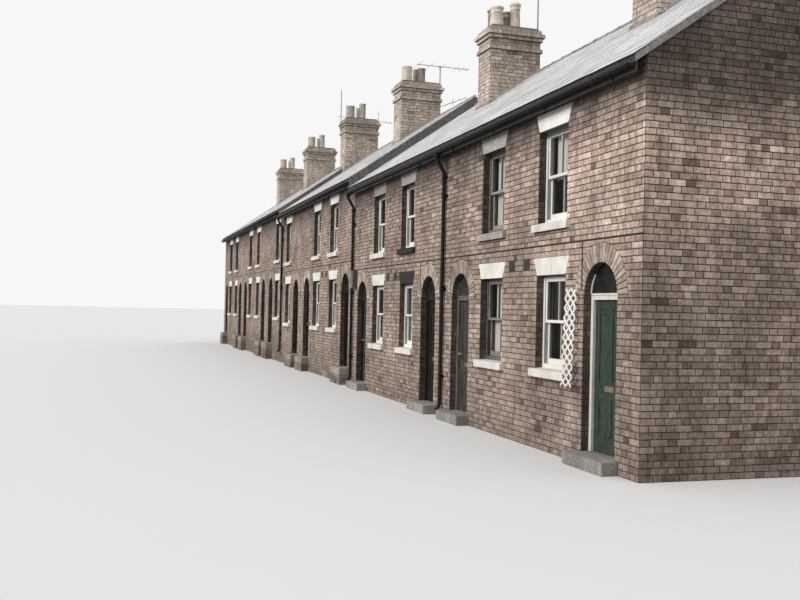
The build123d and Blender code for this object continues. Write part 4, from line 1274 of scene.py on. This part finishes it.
# Finishes and softened edges on the pieces kept from the part: the look, the bevel and the names
DOORS = tuple(f"door_{house}" for house in range(1, 6))
for look, bevel, names in (
    (STREET_MORTAR, 0, ("front_wall_a", "front_wall_b", "front_wall_c", "front_wall_over_doors")),
    (STREET_MORTAR, 0, ("rear_wall_a", "rear_wall_b", "rear_wall_c", "end_wall_near", "end_wall_far")),
    (PARTY_MORTAR, 0, ("party_walls",)),
    (CHIMNEY_MORTAR, 0, [f"chimney_stack_{number}" for number in range(1, 7)]),
    (UNDERSIDE, 0, [f"roof_{face}_{section}" for section in "abc" for face in ("front", "rear")]),
    (BOARDS, 0, ("ground_floors", "first_floors")),
    (LINTEL, 0.005, ("lintels",)),
    (SILL, 0.006, ("sills",)),
    (BOX_FRAMES, 0.003, ("window_frames",)),
    (SASHES, 0.003, ("window_sashes",)),
    (GLASS, 0, ("window_glass", "rear_window_glass")),
    (WINDOW_PAINT, 0.003, ("rear_windows",)),
    (FRAME_PAINT, 0.004, ("door_heads",)),
    (PANEL, 0, ("fanlights",)),
    (FRAME_PAINT, 0.002, ("door_posts",)),
    (DOOR_PAINT, 0.002, ("front_doors_fixed", *DOORS)),
    (STEP_STONE, 0.012, ("doorsteps",)),
    (DOOR_PAINT, 0.003, ("rear_doors",)),
    (AERIAL, 0.002, ("tv_aerials",)),
    (CABLE, 0.004, ("wall_cables",)),
    (BOX_GREY, 0.006, ("wall_box",)),
    (FASCIA, 0.002, ("fascias",)),
):
    for name in names:
        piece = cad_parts[name]
        piece.data.materials.clear()
        piece.data.materials.append(look)
        if bevel:
            weld = piece.modifiers.new("weld", "WELD")
            weld.merge_threshold = 0.0002
            soft = piece.modifiers.new("bevel", "BEVEL")
            soft.width = bevel
            soft.segments = 2
            soft.limit_method = "ANGLE"
            soft.angle_limit = math.radians(32)


# Floor, light and camera
def seen_directly(tree):
    """1 for what the camera sees, in mirrors and through glass too, and 0 for light that falls on things."""
    path = tree.nodes.new("ShaderNodeLightPath")
    seen = path.outputs["Is Camera Ray"]
    for ray in ("Is Glossy Ray", "Is Transmission Ray"):
        most = tree.nodes.new("ShaderNodeMath")
        most.operation = "MAXIMUM"
        tree.links.new(seen, most.inputs[0])
        tree.links.new(path.outputs[ray], most.inputs[1])
        seen = most.outputs[0]
    return seen


FLOOR_HALF, FLOOR_Z = 400, -0.002
floor_mesh = bpy.data.meshes.new("studio_floor")
corners = [(x * FLOOR_HALF, y * FLOOR_HALF, FLOOR_Z) for x, y in ((-1, -1), (1, -1), (1, 1), (-1, 1))]
floor_mesh.from_pydata(corners, [], [[0, 1, 2, 3]])
floor_look = Look("studio_floor", 0.95, specular=0.1)
floor_mesh.materials.append(floor_look.material)
floor_look.colour(floor_look.mix(seen_directly(floor_look.tree), (0.24, 0.24, 0.235), (0.7, 0.7, 0.695)))
studio_floor = bpy.data.objects.new("studio_floor", floor_mesh)
bpy.context.scene.collection.objects.link(studio_floor)

world = bpy.data.worlds.new("studio")
bpy.context.scene.world = world
world.use_nodes = True
tree = world.node_tree
soft = tree.nodes["Background"]
direction = tree.nodes.new("ShaderNodeTexCoord")
apart = tree.nodes.new("ShaderNodeSeparateXYZ")
sky = tree.nodes.new("ShaderNodeValToRGB")
sky.color_ramp.elements[0].color = (0.62, 0.62, 0.615, 1)
sky.color_ramp.elements[1].color = (1.0, 1.0, 1.0, 1)
tree.links.new(direction.outputs["Generated"], apart.inputs[0])
tree.links.new(apart.outputs["Z"], sky.inputs[0])
tree.links.new(sky.outputs[0], soft.inputs["Color"])
soft.inputs["Strength"].default_value = 0.95
white = tree.nodes.new("ShaderNodeBackground")
white.inputs["Color"].default_value = (0.93, 0.93, 0.93, 1)
white.inputs["Strength"].default_value = 1.0
blend = tree.nodes.new("ShaderNodeMixShader")
tree.links.new(seen_directly(tree), blend.inputs[0])
tree.links.new(soft.outputs[0], blend.inputs[1])
tree.links.new(white.outputs[0], blend.inputs[2])
tree.links.new(blend.outputs[0], tree.nodes["World Output"].inputs["Surface"])

sun = bpy.data.lights.new("soft_key", "SUN")
sun.energy = 2.4
sun.angle = math.radians(30)
key = bpy.data.objects.new("soft_key", sun)
key.rotation_euler = Vector((-0.16, 1.0, -0.45)).to_track_quat("-Z", "Y").to_euler()
bpy.context.scene.collection.objects.link(key)

# The photo's camera: its place, its turns in radians, and its focal length in pixels of an 800-pixel frame
EYE = (29.09, -9.09, 1.948)
YAW, PITCH, ROLL, FOCAL, FRAME_WIDE, SENSOR = 0.3073, 0.0098, 0.0227, 930.2, 800, 36
ahead = Vector((-math.cos(YAW) * math.cos(PITCH), math.sin(YAW) * math.cos(PITCH), math.sin(PITCH)))
right = Vector((math.sin(YAW), math.cos(YAW), 0))
up = right.cross(ahead)
across = math.cos(ROLL) * right + math.sin(ROLL) * up
upward = -math.sin(ROLL) * right + math.cos(ROLL) * up
lens = bpy.data.cameras.new("camera")
lens.lens = FOCAL * SENSOR / FRAME_WIDE
lens.sensor_width = SENSOR
lens.clip_end = 2000
camera = bpy.data.objects.new("camera", lens)
turn = Matrix((across, upward, -ahead)).transposed().to_4x4()
camera.matrix_world = Matrix.Translation(EYE) @ turn
bpy.context.scene.collection.objects.link(camera)
bpy.context.scene.camera = camera
bpy.context.scene.view_settings.view_transform = "Standard"
